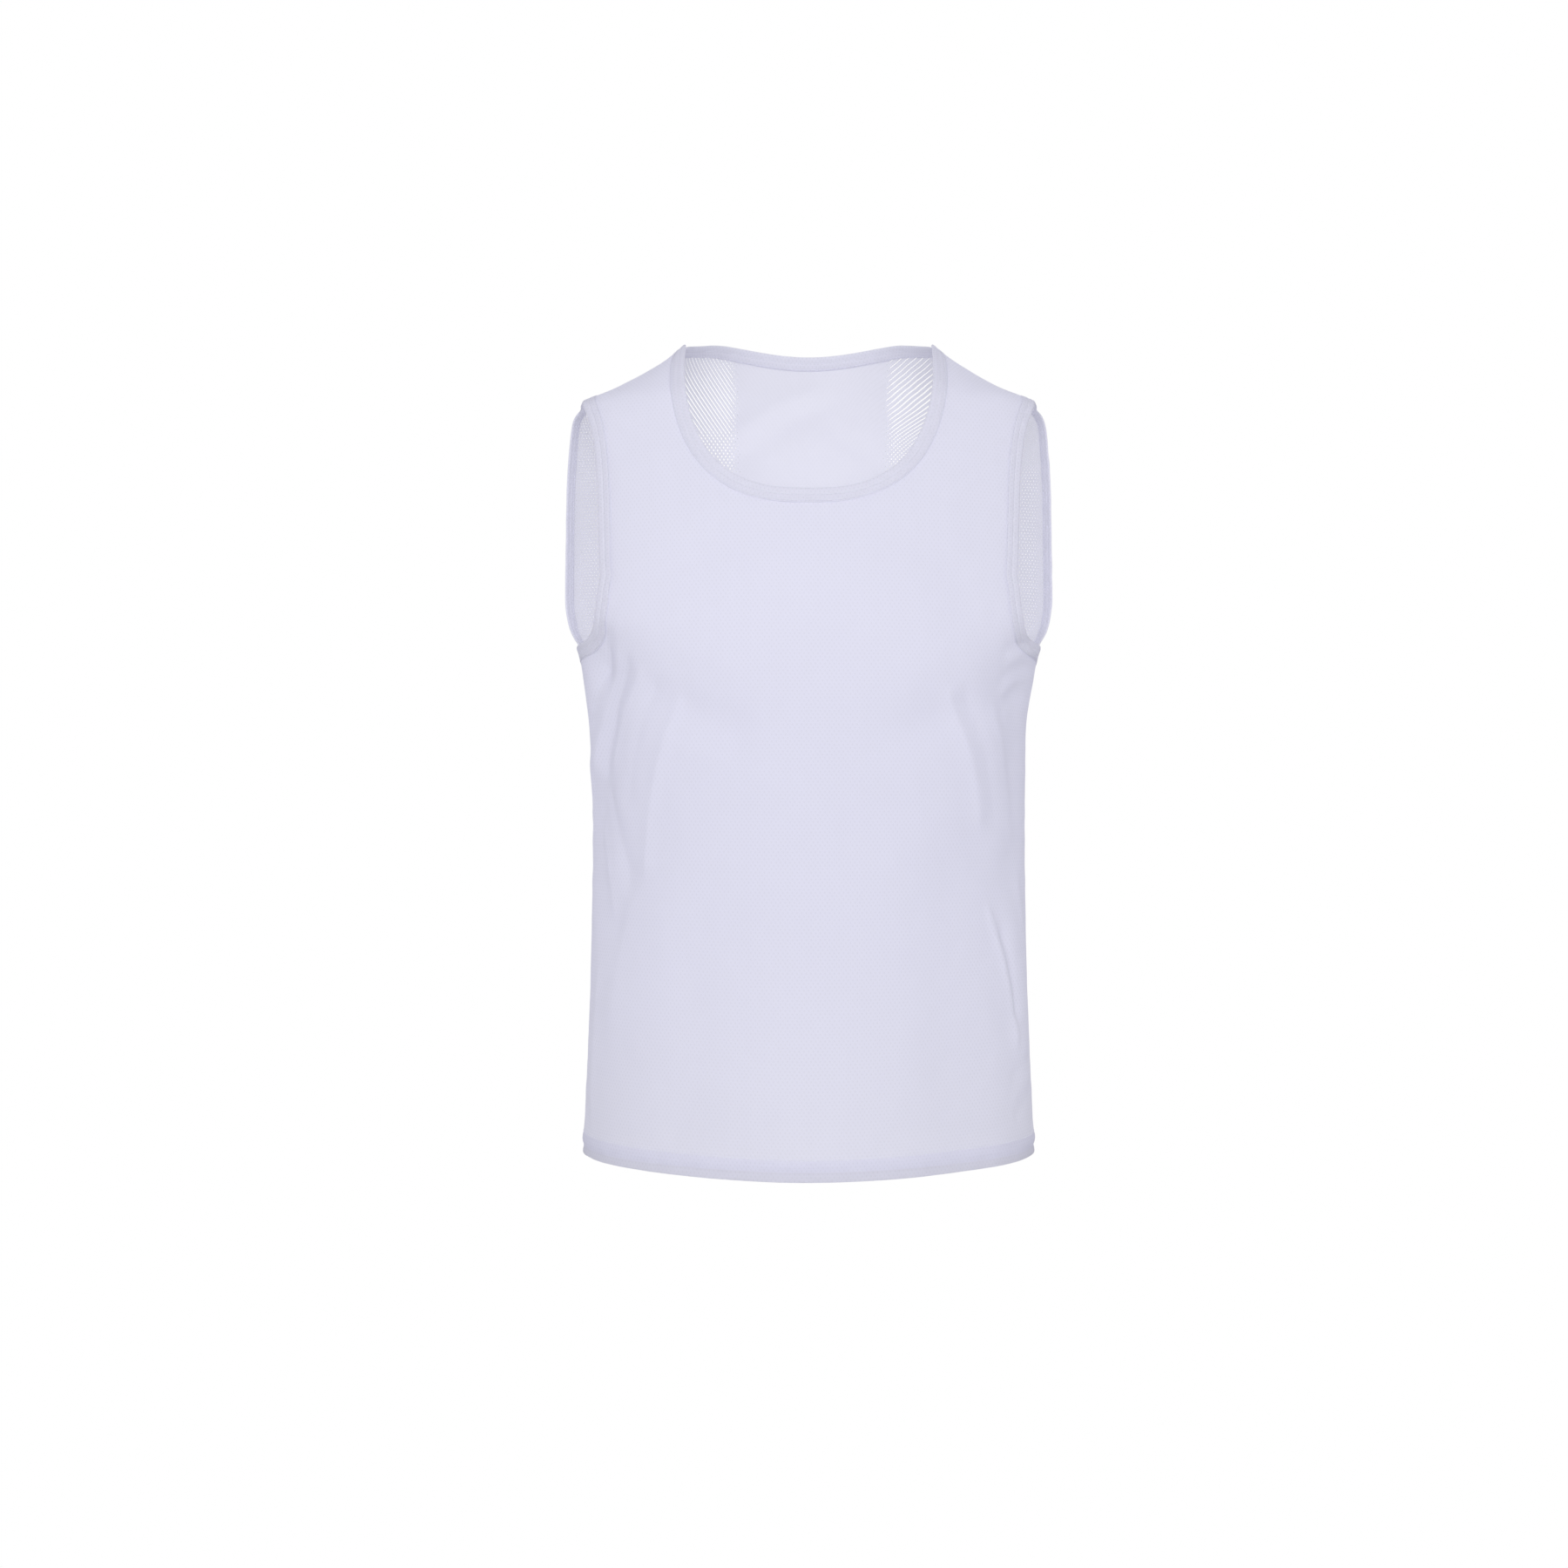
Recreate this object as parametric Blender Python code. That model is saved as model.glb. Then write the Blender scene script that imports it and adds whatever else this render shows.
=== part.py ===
"""Sleeveless training bib of mesh knit, filled out as it hangs when worn, hollow and open at neck, armholes and hem.

Frame: metres, +Z up, the wearer faces -Y, +X is the viewer's right. The origin is midway between the two neck points
(where neckline and shoulder seam meet), at their height.

The cloth follows one smooth general form, a stack of level oval sections. Every piece is a thin wall on it:
front and back panels with turned-up hems, a folded band round the neck and one round each armhole.
A point of the form is (turn, z): turn is 0 on the shoulder and side line, a quarter turn at the centre front or back.
"""

from collections import namedtuple
from math import pi

import bpy
import numpy as np

# ---------------------------------------------------------------- sizes, metres

CLOTH = 0.0012            # one layer of mesh knit, as a wall
HEM_CLOTH = 0.0024        # hem: two layers
HEM_HEIGHT = 0.018        # turned-up allowance, stitched along its top
HEM_LEVEL = -0.6650       # at the side seams
HEM_DIP = 0.0015          # the front and back hang this much lower at their centres
BAND_WIDTH = 0.0120       # neck and armhole bands, finished
BAND_PROUD = 0.0006       # how far a band's outer face stands off the panels'
BAND_CLOTH = 0.0024       # a band is a folded strip: two layers
BAND_LIP = 0.0010         # the rounding of a band's folded edge
SEAM_GAP = 0.0003         # clearance between pieces at every seam
BEND_WEIGHT = 0.045       # how much closer the stations along an edge lie where it bends, metres per radian

NECK_HALF_WIDTH = 0.1003
NECK_DROP_FRONT = 0.1341
NECK_SHAPE = 2.7          # superellipse power of the front neckline, seen from the front
NECK_RISE_BACK = 0.0095   # the back neck stands above the neck points
NECK_DIP_BACK = 0.0043    # and dips again at its centre

ARM_TOP = -0.0500
ARM_MIDDLE = -0.2000      # height where the armhole reaches furthest forward
ARM_BOTTOM = -0.2525
ARM_TOP_SHAPE = 4.0
ARM_BOTTOM_SHAPE = 3.8

# Level sections: superellipses of this half width, depth in front and behind, and power (2 is an ellipse, more is squarer)
Section = namedtuple("Section", "level z half_width front back power")
SECTIONS = [
    Section("collar", 0.0200, 0.0780, 0.0280, 0.0660, 2.30),
    Section("neck points", 0.0000, 0.1000, 0.0430, 0.0745, 2.30),
    Section("inner shoulder", -0.0137, 0.1165, 0.0520, 0.0800, 2.30),
    Section("mid shoulder", -0.0285, 0.1400, 0.0620, 0.0850, 2.30),
    Section("outer shoulder", -0.0448, 0.1730, 0.0715, 0.0895, 2.30),
    Section("shoulder tip", -0.0510, 0.1905, 0.0745, 0.0915, 2.30),
    Section("shoulder round", -0.0580, 0.1985, 0.0775, 0.0940, 2.30),
    Section("arm root top", -0.0800, 0.2035, 0.0860, 0.1000, 2.30),
    Section("arm root upper", -0.1150, 0.2072, 0.0975, 0.1075, 2.30),
    Section("arm root middle", -0.1600, 0.2092, 0.1100, 0.1130, 2.30),
    Section("arm root lower", -0.2100, 0.2110, 0.1205, 0.1150, 2.30),
    Section("arm root base", -0.2316, 0.2065, 0.1230, 0.1145, 2.30),
    Section("underarm", -0.2525, 0.1908, 0.1240, 0.1130, 2.30),
    Section("chest", -0.2800, 0.1845, 0.1225, 0.1110, 2.28),
    Section("under chest", -0.3200, 0.1787, 0.1190, 0.1085, 2.23),
    Section("waist", -0.4000, 0.1780, 0.1160, 0.1060, 2.12),
    Section("under waist", -0.4800, 0.1788, 0.1165, 0.1065, 2.03),
    Section("hip", -0.5800, 0.1820, 0.1205, 0.1100, 1.93),
    Section("hem", -0.6750, 0.1868, 0.1262, 0.1145, 1.87),
]

ArmReach = namedtuple("ArmReach", "face at_top at_middle")
ARM_REACH = {-1: ArmReach("front", 0.0520, 0.0835), 1: ArmReach("back", 0.0240, 0.0335)}

# How each half panel is divided: columns count from the centre to the side, rows from the hem up. Columns up to
# neck_columns end under the neckline, those past arm_columns end under the armhole, the rest end at the shoulder seam.
Division = namedtuple(
    "Division", "neck_columns strap_columns arm_columns body_rows chest_rows strap_rows neck_split arm_split arm_level centre_drop"
)
DIVISION = {
    -1: Division(7, 5, 5, 13, 5, 8, 0.52, 0.70, 0.43, 0.012),
    1: Division(7, 5, 4, 14, 9, 4, 0.30, 0.74, 0.24, 0.010),
}

# The largest folds, as soft ridges (+) and hollows (-). girth is the distance along the cloth from the centre line of
# the face, positive towards the viewer's right.
Fold = namedtuple("Fold", "name face girth_top z_top girth_foot z_foot half_width height")
FOLDS = [
    Fold("underarm drag, viewer's left", -1, -0.205, -0.275, -0.222, -0.350, 0.017, 0.0032),
    Fold("hollow beside it", -1, -0.180, -0.300, -0.200, -0.385, 0.018, -0.0030),
    Fold("inner drag, viewer's left", -1, -0.140, -0.305, -0.170, -0.430, 0.020, 0.0034),
    Fold("side hollow, viewer's left", -1, -0.198, -0.400, -0.178, -0.465, 0.022, -0.0028),
    Fold("drag, viewer's right", -1, 0.140, -0.300, 0.170, -0.400, 0.020, 0.0030),
    Fold("side hollow, viewer's right", -1, 0.195, -0.300, 0.185, -0.420, 0.020, -0.0026),
    Fold("hip ridge, viewer's right", -1, 0.185, -0.480, 0.200, -0.570, 0.018, 0.0030),
    Fold("blade drag, viewer's right", 1, 0.150, -0.290, 0.185, -0.400, 0.020, 0.0032),
    Fold("blade drag, viewer's left", 1, -0.160, -0.280, -0.190, -0.370, 0.020, 0.0030),
    Fold("small of the back", 1, 0.060, -0.330, 0.030, -0.480, 0.030, -0.0035),
    Fold("small of the back, beside", 1, -0.050, -0.350, -0.075, -0.520, 0.030, -0.0030),
]

# ---------------------------------------------------------------- the form


def smooth_step(t):
    t = np.clip(t, 0.0, 1.0)
    return t * t * (3 - 2 * t)


def soft_curve(knots, values, at):
    """A curve through the knots that never overshoots between them (monotone cubic)."""
    knots, values = np.asarray(knots, float), np.asarray(values, float)
    step = np.diff(knots)
    slope = np.diff(values) / step
    tangent = np.zeros(len(knots))
    for i in range(1, len(knots) - 1):
        if slope[i - 1] * slope[i] > 0:
            w1, w2 = 2 * step[i] + step[i - 1], step[i] + 2 * step[i - 1]
            tangent[i] = (w1 + w2) / (w1 / slope[i - 1] + w2 / slope[i])
    tangent[0], tangent[-1] = slope[0], slope[-1]
    k = np.clip(np.searchsorted(knots, at) - 1, 0, len(knots) - 2)
    t = (at - knots[k]) / step[k]
    return (
        (1 + 2 * t) * (1 - t) ** 2 * values[k]
        + t * (1 - t) ** 2 * step[k] * tangent[k]
        + t * t * (3 - 2 * t) * values[k + 1]
        + t * t * (t - 1) * step[k] * tangent[k + 1]
    )


LEVELS = np.arange(SECTIONS[-1].z, SECTIONS[0].z, 0.001)


def column(name):
    rising = SECTIONS[::-1]
    value = soft_curve([s.z for s in rising], [getattr(s, name) for s in rising], LEVELS)
    for _ in range(30):  # even out the curvature between rows
        value[1:-1] = (value[:-2] + 2 * value[1:-1] + value[2:]) / 4
    return value


HALF_WIDTH, POWER, DEPTH = column("half_width"), column("power"), {-1: column("front"), 1: column("back")}


def half_width(z):
    return np.interp(z, LEVELS, HALF_WIDTH)


def depth(z, face):
    return np.interp(z, LEVELS, DEPTH[face])


def power(z):
    return np.interp(z, LEVELS, POWER)


def form(turn, z, face):
    """Points of the form, on the +X side."""
    turn, z = np.broadcast_arrays(np.asarray(turn, float), np.asarray(z, float))
    c, s = np.maximum(np.cos(turn), 0.0), np.maximum(np.sin(turn), 0.0)
    r = (c ** power(z) + s ** power(z)) ** (1 / power(z))
    return np.stack([half_width(z) * c / r, face * depth(z, face) * s / r, z], axis=-1)


def turn_of(x, y, z, face):
    return np.arctan2(np.abs(y) / depth(z, face), np.maximum(x, 0.0) / half_width(z))


def normal(turn, z, face):
    """Outward unit normals of the form."""
    d, e = 2e-3, 2e-3
    low, high = np.maximum(turn - d, 0.0), np.minimum(turn + d, pi / 2)
    across = form(high, z, face) - form(low, z, face)
    up = form(turn, z + e, face) - form(turn, z - e, face)
    n = np.cross(across, up) * face
    on_line = (turn < 1e-2)[..., None]
    n = np.where(on_line, n * [1, 0, 1], n)
    n = np.where((turn > pi / 2 - 1e-6)[..., None], n * [0, 1, 1], n)
    return n / np.linalg.norm(n, axis=-1, keepdims=True)


def nearest(p, turn, z, face):
    """The points of the form nearest to p, looked for from (turn, z)."""
    for _ in range(3):
        low, high = np.maximum(turn - 1e-3, 0.0), np.minimum(turn + 1e-3, pi / 2)
        across = (form(high, z, face) - form(low, z, face)) / (high - low)[..., None]
        up = (form(turn, z + 1e-3, face) - form(turn, z - 1e-3, face)) / 2e-3
        miss = p - form(turn, z, face)
        aa, au, uu = (across**2).sum(-1), (across * up).sum(-1), (up**2).sum(-1)
        ma, mu = (miss * across).sum(-1), (miss * up).sum(-1)
        even = aa * uu - au**2
        turn = np.clip(turn + np.clip((ma * uu - mu * au) / even, -0.2, 0.2), 0.0, pi / 2)
        z = z + np.clip((mu * aa - ma * au) / even, -0.01, 0.01)
    return turn, z


def girth(turn, z, face):
    """Distance along a level section from the centre line of the face."""
    turns = turn[..., None] + (pi / 2 - turn[..., None]) * np.linspace(0, 1, 25)
    p = form(turns, np.broadcast_to(z[..., None], turns.shape), face)
    return np.linalg.norm(np.diff(p, axis=-2), axis=-1).sum(axis=-1)


def fold_height(turn, z, face, side):
    """How far the folds lift the cloth off the form, fading out at the shoulder and side seams."""
    g = side * girth(turn, z, face)
    height = np.zeros_like(g)
    for f in FOLDS:
        if f.face != face:
            continue
        run = np.array([f.girth_foot - f.girth_top, f.z_foot - f.z_top])
        along = ((g - f.girth_top) * run[0] + (z - f.z_top) * run[1]) / (run @ run)
        off = np.abs((g - f.girth_top) * run[1] - (z - f.z_top) * run[0]) / np.sqrt(run @ run)
        past = np.maximum(np.maximum(-along, along - 1), 0) * np.sqrt(run @ run)
        height += f.height * np.exp(-((off / f.half_width) ** 2) - (past / (1.6 * f.half_width)) ** 2)
    return height * smooth_step(turn / 0.30)


# ---------------------------------------------------------------- edges on the form


def length_along(points):
    return np.concatenate([[0.0], np.cumsum(np.linalg.norm(np.diff(points, axis=0), axis=1))])


class Edge:
    """A cut edge on one face, +X side, as even samples (turn, z), with its parallels at other widths."""

    def __init__(self, turn, z, face, hole_side):
        self.face, self.hole_side, self.widths = face, hole_side, {}
        at = length_along(form(turn, z, face))
        even = np.linspace(0, at[-1], 241)
        self.turn, self.z = np.interp(even, at, turn), np.interp(even, at, z)

    def parallel(self, width):
        if width in self.widths:
            return self.widths[width]
        turn, z = self.turn.copy(), self.z.copy()
        steps = max(1, round(width / 0.0015))
        ends = (self.turn[0] < 1e-6, self.turn[-1] < 1e-6)
        for _ in range(steps if width else 0):
            p = form(turn, z, self.face)
            along = np.gradient(p, axis=0)
            along[0] = [0, along[0, 1], 0] if ends[0] else [along[0, 0], 0, 0]
            along[-1] = [0, along[-1, 1], 0] if ends[1] else [along[-1, 0], 0, 0]
            away = np.cross(normal(turn, z, self.face), along) * self.hole_side
            away /= np.linalg.norm(away, axis=1, keepdims=True)
            p = p + away * width / steps
            z = p[:, 2]
            turn = turn_of(p[:, 0], p[:, 1], z, self.face)
            for end, on_line in zip((0, -1), ends):
                turn[end] = 0.0 if on_line else pi / 2
        self.widths[width] = turn, z
        return turn, z

    def at(self, width, share):
        """The points of the parallel at these sample positions (0 to 1 of the samples)."""
        turn, z = self.parallel(width)
        n = np.linspace(0, 1, len(turn))
        return np.interp(share, n, turn), np.interp(share, n, z)

    def shares(self, width, first, last, pieces):
        """Sample positions that divide the parallel evenly between two shares of it, closer where it bends."""
        turn, z = self.parallel(width)
        p = form(turn, z, self.face)
        run = np.gradient(p, axis=0)
        run /= np.linalg.norm(run, axis=1, keepdims=True)
        bend = length_along(run) + length_along(normal(turn, z, self.face))
        at = length_along(p) + BEND_WEIGHT * bend
        return np.interp(np.linspace(first, last, pieces + 1) * at[-1], at, np.linspace(0, 1, len(turn)))


def neck_edge(face):
    """The free edge of the neck, from the shoulder line to the centre."""
    if face < 0:
        a = np.linspace(0, 1, 1501) ** 2.2 * pi / 2
        z = -NECK_DROP_FRONT * np.sin(a) ** (2 / NECK_SHAPE)
        x = NECK_HALF_WIDTH * np.cos(a) ** (2 / NECK_SHAPE)
        share = np.clip(x / half_width(z), 0.0, 1.0)
        turn = np.arctan2((1 - share ** power(z)) ** (1 / power(z)), share)
    else:
        turn = np.linspace(0, pi / 2, 1501)
        z = NECK_RISE_BACK * smooth_step(turn / 0.75) - NECK_DIP_BACK * smooth_step((turn - 0.8) / (pi / 2 - 0.8))
    turn[0], turn[-1] = 0.0, pi / 2
    return Edge(turn, z, face, hole_side=-face)


def arm_edge(face):
    """The free edge of an armhole, from the shoulder line down to the underarm."""
    a = np.concatenate([np.linspace(0, 1, 900) ** 2, 2 - np.linspace(1, 0, 900)[1:] ** 2]) * pi / 2
    upper = a < pi / 2
    shape = np.where(upper, ARM_TOP_SHAPE, ARM_BOTTOM_SHAPE)
    span = np.where(upper, ARM_TOP - ARM_MIDDLE, ARM_BOTTOM - ARM_MIDDLE)
    z = ARM_MIDDLE + span * np.abs(np.cos(a)) ** (2 / shape)
    reach = ARM_REACH[face]
    lean = np.clip((ARM_TOP - z) / (ARM_TOP - ARM_MIDDLE), 0, 1)
    y = (reach.at_top + (reach.at_middle - reach.at_top) * lean) * np.abs(np.sin(a)) ** (2 / shape)
    share = np.clip(y / depth(z, face), 0, 1)
    turn = np.arctan2(share, (1 - share ** power(z)) ** (1 / power(z)))
    turn[0] = turn[-1] = 0.0
    return Edge(turn, z, face, hole_side=face)


NECK = {face: neck_edge(face) for face in (-1, 1)}
ARM = {face: arm_edge(face) for face in (-1, 1)}

# ---------------------------------------------------------------- panels

PANEL_EDGE = BAND_WIDTH + SEAM_GAP


def stations(face):
    """Where the panel's nodes lie along the neck and armhole edges, which the bands share."""
    d = DIVISION[face]
    neck_side = NECK[face].shares(PANEL_EDGE, 0, d.neck_split, d.strap_rows)
    neck_under = NECK[face].shares(PANEL_EDGE, d.neck_split, 1, d.neck_columns)
    arm_strap = ARM[face].shares(PANEL_EDGE, 0, d.arm_level, d.strap_rows)
    arm_chest = ARM[face].shares(PANEL_EDGE, d.arm_level, d.arm_split, d.chest_rows)
    arm_under = ARM[face].shares(PANEL_EDGE, d.arm_split, 1, d.arm_columns)
    return neck_side, neck_under, arm_strap, arm_chest, arm_under


def coons(bottom, top, left, right):
    """Nodes inside four edges; bottom and top run with i, left and right with j."""
    u = np.linspace(0, 1, len(bottom))[:, None, None]
    v = np.linspace(0, 1, len(left))[None, :, None]
    return (
        (1 - v) * bottom[:, None] + v * top[:, None] + (1 - u) * left[None] + u * right[None]
        - (1 - u) * (1 - v) * bottom[0] - u * (1 - v) * bottom[-1] - (1 - u) * v * top[0] - u * v * top[-1]
    )


def half_panel(face):
    """Nodes (turn, z) of a half panel by (column, row), and which cells between them are cloth."""
    d = DIVISION[face]
    neck_side, neck_under, arm_strap, arm_chest, arm_under = (
        np.stack(edge.at(PANEL_EDGE, share), axis=-1)
        for edge, share in zip((NECK[face], NECK[face], ARM[face], ARM[face], ARM[face]), stations(face))
    )
    i1, i2 = d.neck_columns, d.neck_columns + d.strap_columns
    i3 = i2 + d.arm_columns
    j0 = 2 + d.body_rows
    j1 = j0 + d.chest_rows
    j2 = j1 + d.strap_rows
    node = np.full((i3 + 1, j2 + 1, 2), np.nan)

    hem_turns = np.linspace(pi / 2, 0, 401)
    hem_at = length_along(form(hem_turns, np.full(401, HEM_LEVEL), face))
    foot = np.interp(np.linspace(0, 1, i3 + 1) * hem_at[-1], hem_at, hem_turns)
    foot_z = HEM_LEVEL - HEM_DIP * np.sin(foot) ** 4

    under_neck, armhole = neck_under[::-1], arm_under
    centre = np.array([pi / 2, armhole[0, 1] - d.centre_drop])
    row0 = centre + (armhole[0] - centre) * np.linspace(0, 1, i2 + 1)[:, None]
    head = np.concatenate([row0, armhole[1:]])
    rise = np.linspace(0, 1, d.body_rows + 1)
    for i in range(i3 + 1):
        z0 = foot_z[i] + HEM_HEIGHT + 0.0006
        node[i, 0] = foot[i], foot_z[i]
        node[i, 1] = foot[i], foot_z[i] + HEM_HEIGHT
        node[i, 2 : j0 + 1, 0] = foot[i] + (head[i, 0] - foot[i]) * smooth_step(rise) ** 1.3
        node[i, 2 : j0 + 1, 1] = z0 + (head[i, 1] - z0) * rise

    split, level = neck_under[0], arm_chest[0]
    row1 = split + (level - split) * np.linspace(0, 1, d.strap_columns + 1)[:, None]
    top = np.concatenate([under_neck, row1[1:]])
    centre_line = np.stack(
        [np.full(d.chest_rows + 1, pi / 2), np.linspace(centre[1], under_neck[0, 1], d.chest_rows + 1)], axis=-1
    )
    node[: i2 + 1, j0 : j1 + 1] = coons(row0, top, centre_line, arm_chest[::-1])

    shoulder = np.stack([np.zeros(d.strap_columns + 1), np.linspace(neck_side[0, 1], arm_strap[0, 1], d.strap_columns + 1)], axis=-1)
    node[i1 : i2 + 1, j1:] = coons(row1, shoulder, neck_side[::-1], arm_strap[::-1])

    cell = np.zeros((i3, j2), bool)
    cell[:, :j0] = cell[:i2, j0:j1] = cell[i1:i2, j1:] = True

    inside = np.zeros((i3 + 1, j2 + 1), bool)  # nodes with cloth on all four sides
    inside[1:-1, 1:-1] = cell[:-1, :-1] & cell[1:, :-1] & cell[:-1, 1:] & cell[1:, 1:]
    inside[:, :5] = False
    i, j = np.nonzero(inside)
    for _ in range(80):  # even the nodes out along the cloth
        p = form(node[..., 0], node[..., 1], face)
        mean = (p[i + 1, j] + p[i - 1, j] + p[i, j + 1] + p[i, j - 1]) / 4
        node[i, j] = np.stack(nearest(mean, node[i, j, 0], node[i, j, 1], face), axis=-1)

    line = np.isfinite(node[..., 0]) & (node[..., 0] < 1e-9)
    gap = SEAM_GAP / 2 / depth(np.nan_to_num(node[..., 1]), face)
    node[..., 0] = np.where(line, gap, node[..., 0])
    return node, cell


def add_piece(name, points, faces, material):
    mesh = bpy.data.meshes.new(name)
    mesh.from_pydata([tuple(p) for p in points], [], [tuple(f) for f in faces])
    mesh.validate()
    mesh.materials.append(material)
    mesh.shade_smooth()
    mesh.set_sharp_from_angle(angle=0.7)
    piece = bpy.data.objects.new(name, mesh)
    bpy.context.scene.collection.objects.link(piece)
    return piece


def mirrored(points, side):
    return points * [side, 1, 1]


def panel(name, face, material):
    """A panel: both halves as one wall, its inner face a cloth's thickness in, the hem two."""
    node, cell = half_panel(face)
    columns, rows = node.shape[:2]
    here = np.isfinite(node[..., 0])
    outer, inner, number = [], [], {}
    for side in (1, -1):
        for i in range(columns):
            for j in range(rows):
                if not here[i, j] or (side < 0 and i == 0):
                    continue
                turn, z = node[i, j, 0:1], node[i, j, 1:2]
                n = mirrored(normal(turn, z, face)[0], side)
                p = mirrored(form(turn, z, face)[0], side) + n * fold_height(turn, z, face, side)[0]
                number[side * i, j] = len(outer)
                outer.append(p)
                inner.append(p - n * (HEM_CLOTH if j < 2 else CLOTH))
    count = len(outer)
    faces, edges = [], {}
    for side in (1, -1):
        for i in range(columns - 1):
            for j in range(rows - 1):
                if not cell[i, j]:
                    continue
                ring = [number[side * a, b] for a, b in ((i, j), (i + 1, j), (i + 1, j + 1), (i, j + 1))]
                if side * face > 0:  # outward is anticlockwise
                    ring = ring[::-1]
                faces.append(ring)
                faces.append([v + count for v in ring[::-1]])
                for a, b in zip(ring, ring[1:] + ring[:1]):
                    if (b, a) in edges:
                        del edges[b, a]
                    else:
                        edges[a, b] = True
    for a, b in edges:
        faces.append([b, a, a + count, b + count])
    return add_piece(name, np.array(outer + inner), faces, material)


# ---------------------------------------------------------------- bands


def band_section(edge, share, side):
    """The closed section of a band at one station: across the outer face, round the folded edge and back inside."""
    half = BAND_PROUD - BAND_CLOTH / 2
    layout = [
        (BAND_WIDTH, BAND_PROUD), (BAND_WIDTH / 2, BAND_PROUD), (BAND_LIP, BAND_PROUD), (0.0, half),
        (BAND_LIP, BAND_PROUD - BAND_CLOTH), (BAND_WIDTH / 2, BAND_PROUD - BAND_CLOTH), (BAND_WIDTH, BAND_PROUD - BAND_CLOTH),
    ]
    ring = []
    for width, height in layout:
        turn, z = (np.atleast_1d(v) for v in edge.at(width, share))
        n = mirrored(normal(turn, z, edge.face)[0], side)
        p = mirrored(form(turn, z, edge.face)[0], side)
        ring.append(p + n * (height + fold_height(turn, z, edge.face, side)[0]))
    return ring


def band(name, walk, material):
    """A closed band through (edge, share, side) stations."""
    rings = [band_section(*station) for station in walk]
    around, count = len(rings[0]), len(rings)
    faces = [
        [a * around + k, a * around + (k + 1) % around, b * around + (k + 1) % around, b * around + k]
        for a, b in ((a, (a + 1) % count) for a in range(count))
        for k in range(around)
    ]
    points = np.concatenate([np.array(r) for r in rings])
    tri = [(f[0], f[i], f[i + 1]) for f in faces for i in (1, 2)]
    volume = sum(np.dot(points[a], np.cross(points[b], points[c])) for a, b, c in tri)
    if volume < 0:
        faces = [f[::-1] for f in faces]
    return add_piece(name, points, faces, material)


def neck_walk():
    shares = {}
    for face in (-1, 1):
        side_part, under_part = stations(face)[:2]
        shares[face] = np.concatenate([side_part, under_part[1:]])  # shoulder line to centre
    front, back = shares[-1], shares[1]
    walk = [(NECK[-1], s, 1) for s in front[::-1]]            # centre front to the +X shoulder
    walk += [(NECK[1], s, 1) for s in back[1:]]               # on to the centre back
    walk += [(NECK[1], s, -1) for s in back[-2::-1]]          # on to the -X shoulder
    walk += [(NECK[-1], s, -1) for s in front[1:-1]]          # and home
    return walk


def arm_walk(side):
    shares = {}
    for face in (-1, 1):
        strap, chest, under = stations(face)[2:]
        shares[face] = np.concatenate([strap, chest[1:], under[1:]])  # shoulder to underarm
    walk = [(ARM[-1], s, side) for s in shares[-1]]
    walk += [(ARM[1], s, side) for s in shares[1][-2:0:-1]]
    return walk


# ---------------------------------------------------------------- build


def cloth_material(name, colour):
    material = bpy.data.materials.new(name)
    material.use_nodes = True
    shader = material.node_tree.nodes["Principled BSDF"]
    shader.inputs["Base Color"].default_value = (*colour, 1.0)
    shader.inputs["Roughness"].default_value = 0.85
    shader.inputs["Metallic"].default_value = 0.0
    return material


def main():
    for thing in list(bpy.data.objects):
        bpy.data.objects.remove(thing)
    mesh_knit = cloth_material("mesh_knit", (0.78, 0.78, 0.88))
    band_knit = cloth_material("band_knit", (0.74, 0.74, 0.85))
    panel("front_panel", -1, mesh_knit)
    panel("back_panel", 1, mesh_knit)
    band("neck_band", neck_walk(), band_knit)
    band("armhole_band_left", arm_walk(-1), band_knit)
    band("armhole_band_right", arm_walk(1), band_knit)


main()
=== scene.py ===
"""Looks of the sleeveless training bib of mesh knit.

The form, its cut edges and the nodes of each panel are worked out here as in the part's own source, in the same frame:
metres, +Z up, the front towards -Y. On them lie thin shells of cloth with their folds, folded bands and rows of stitches.
A point of the form is (turn, z): turn is 0 on the shoulder and side line, a quarter turn at the centre front or back.
"""

from collections import namedtuple
from math import pi, radians

import bpy
import numpy as np
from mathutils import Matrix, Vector


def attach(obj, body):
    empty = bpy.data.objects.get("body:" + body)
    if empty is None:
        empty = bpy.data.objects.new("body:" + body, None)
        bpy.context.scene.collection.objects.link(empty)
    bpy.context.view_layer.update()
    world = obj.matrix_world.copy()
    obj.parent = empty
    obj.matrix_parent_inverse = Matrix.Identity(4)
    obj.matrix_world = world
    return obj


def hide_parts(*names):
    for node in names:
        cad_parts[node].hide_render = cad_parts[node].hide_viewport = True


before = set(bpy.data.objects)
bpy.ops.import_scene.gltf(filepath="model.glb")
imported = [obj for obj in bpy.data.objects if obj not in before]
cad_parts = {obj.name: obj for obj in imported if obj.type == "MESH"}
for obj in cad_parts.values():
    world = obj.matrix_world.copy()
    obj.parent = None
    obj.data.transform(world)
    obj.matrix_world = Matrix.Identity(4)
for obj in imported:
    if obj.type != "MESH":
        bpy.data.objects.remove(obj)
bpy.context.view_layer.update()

# ---------------------------------------------------------------- sizes, metres

HEM_HEIGHT = 0.018
HEM_LEVEL = -0.6650
HEM_DIP = 0.0015
BAND_WIDTH = 0.0120
BEND_WEIGHT = 0.045
TUCK = 0.0105             # the panels' cut edges, this far in from the bands' folded edges
PLY = 0.0009              # the step from the hem's outer layer to its turned-up one

NECK_HALF_WIDTH = 0.1003
NECK_DROP_FRONT = 0.1341
NECK_SHAPE = 2.7
NECK_RISE_BACK = 0.0095
NECK_DIP_BACK = 0.0043

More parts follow.
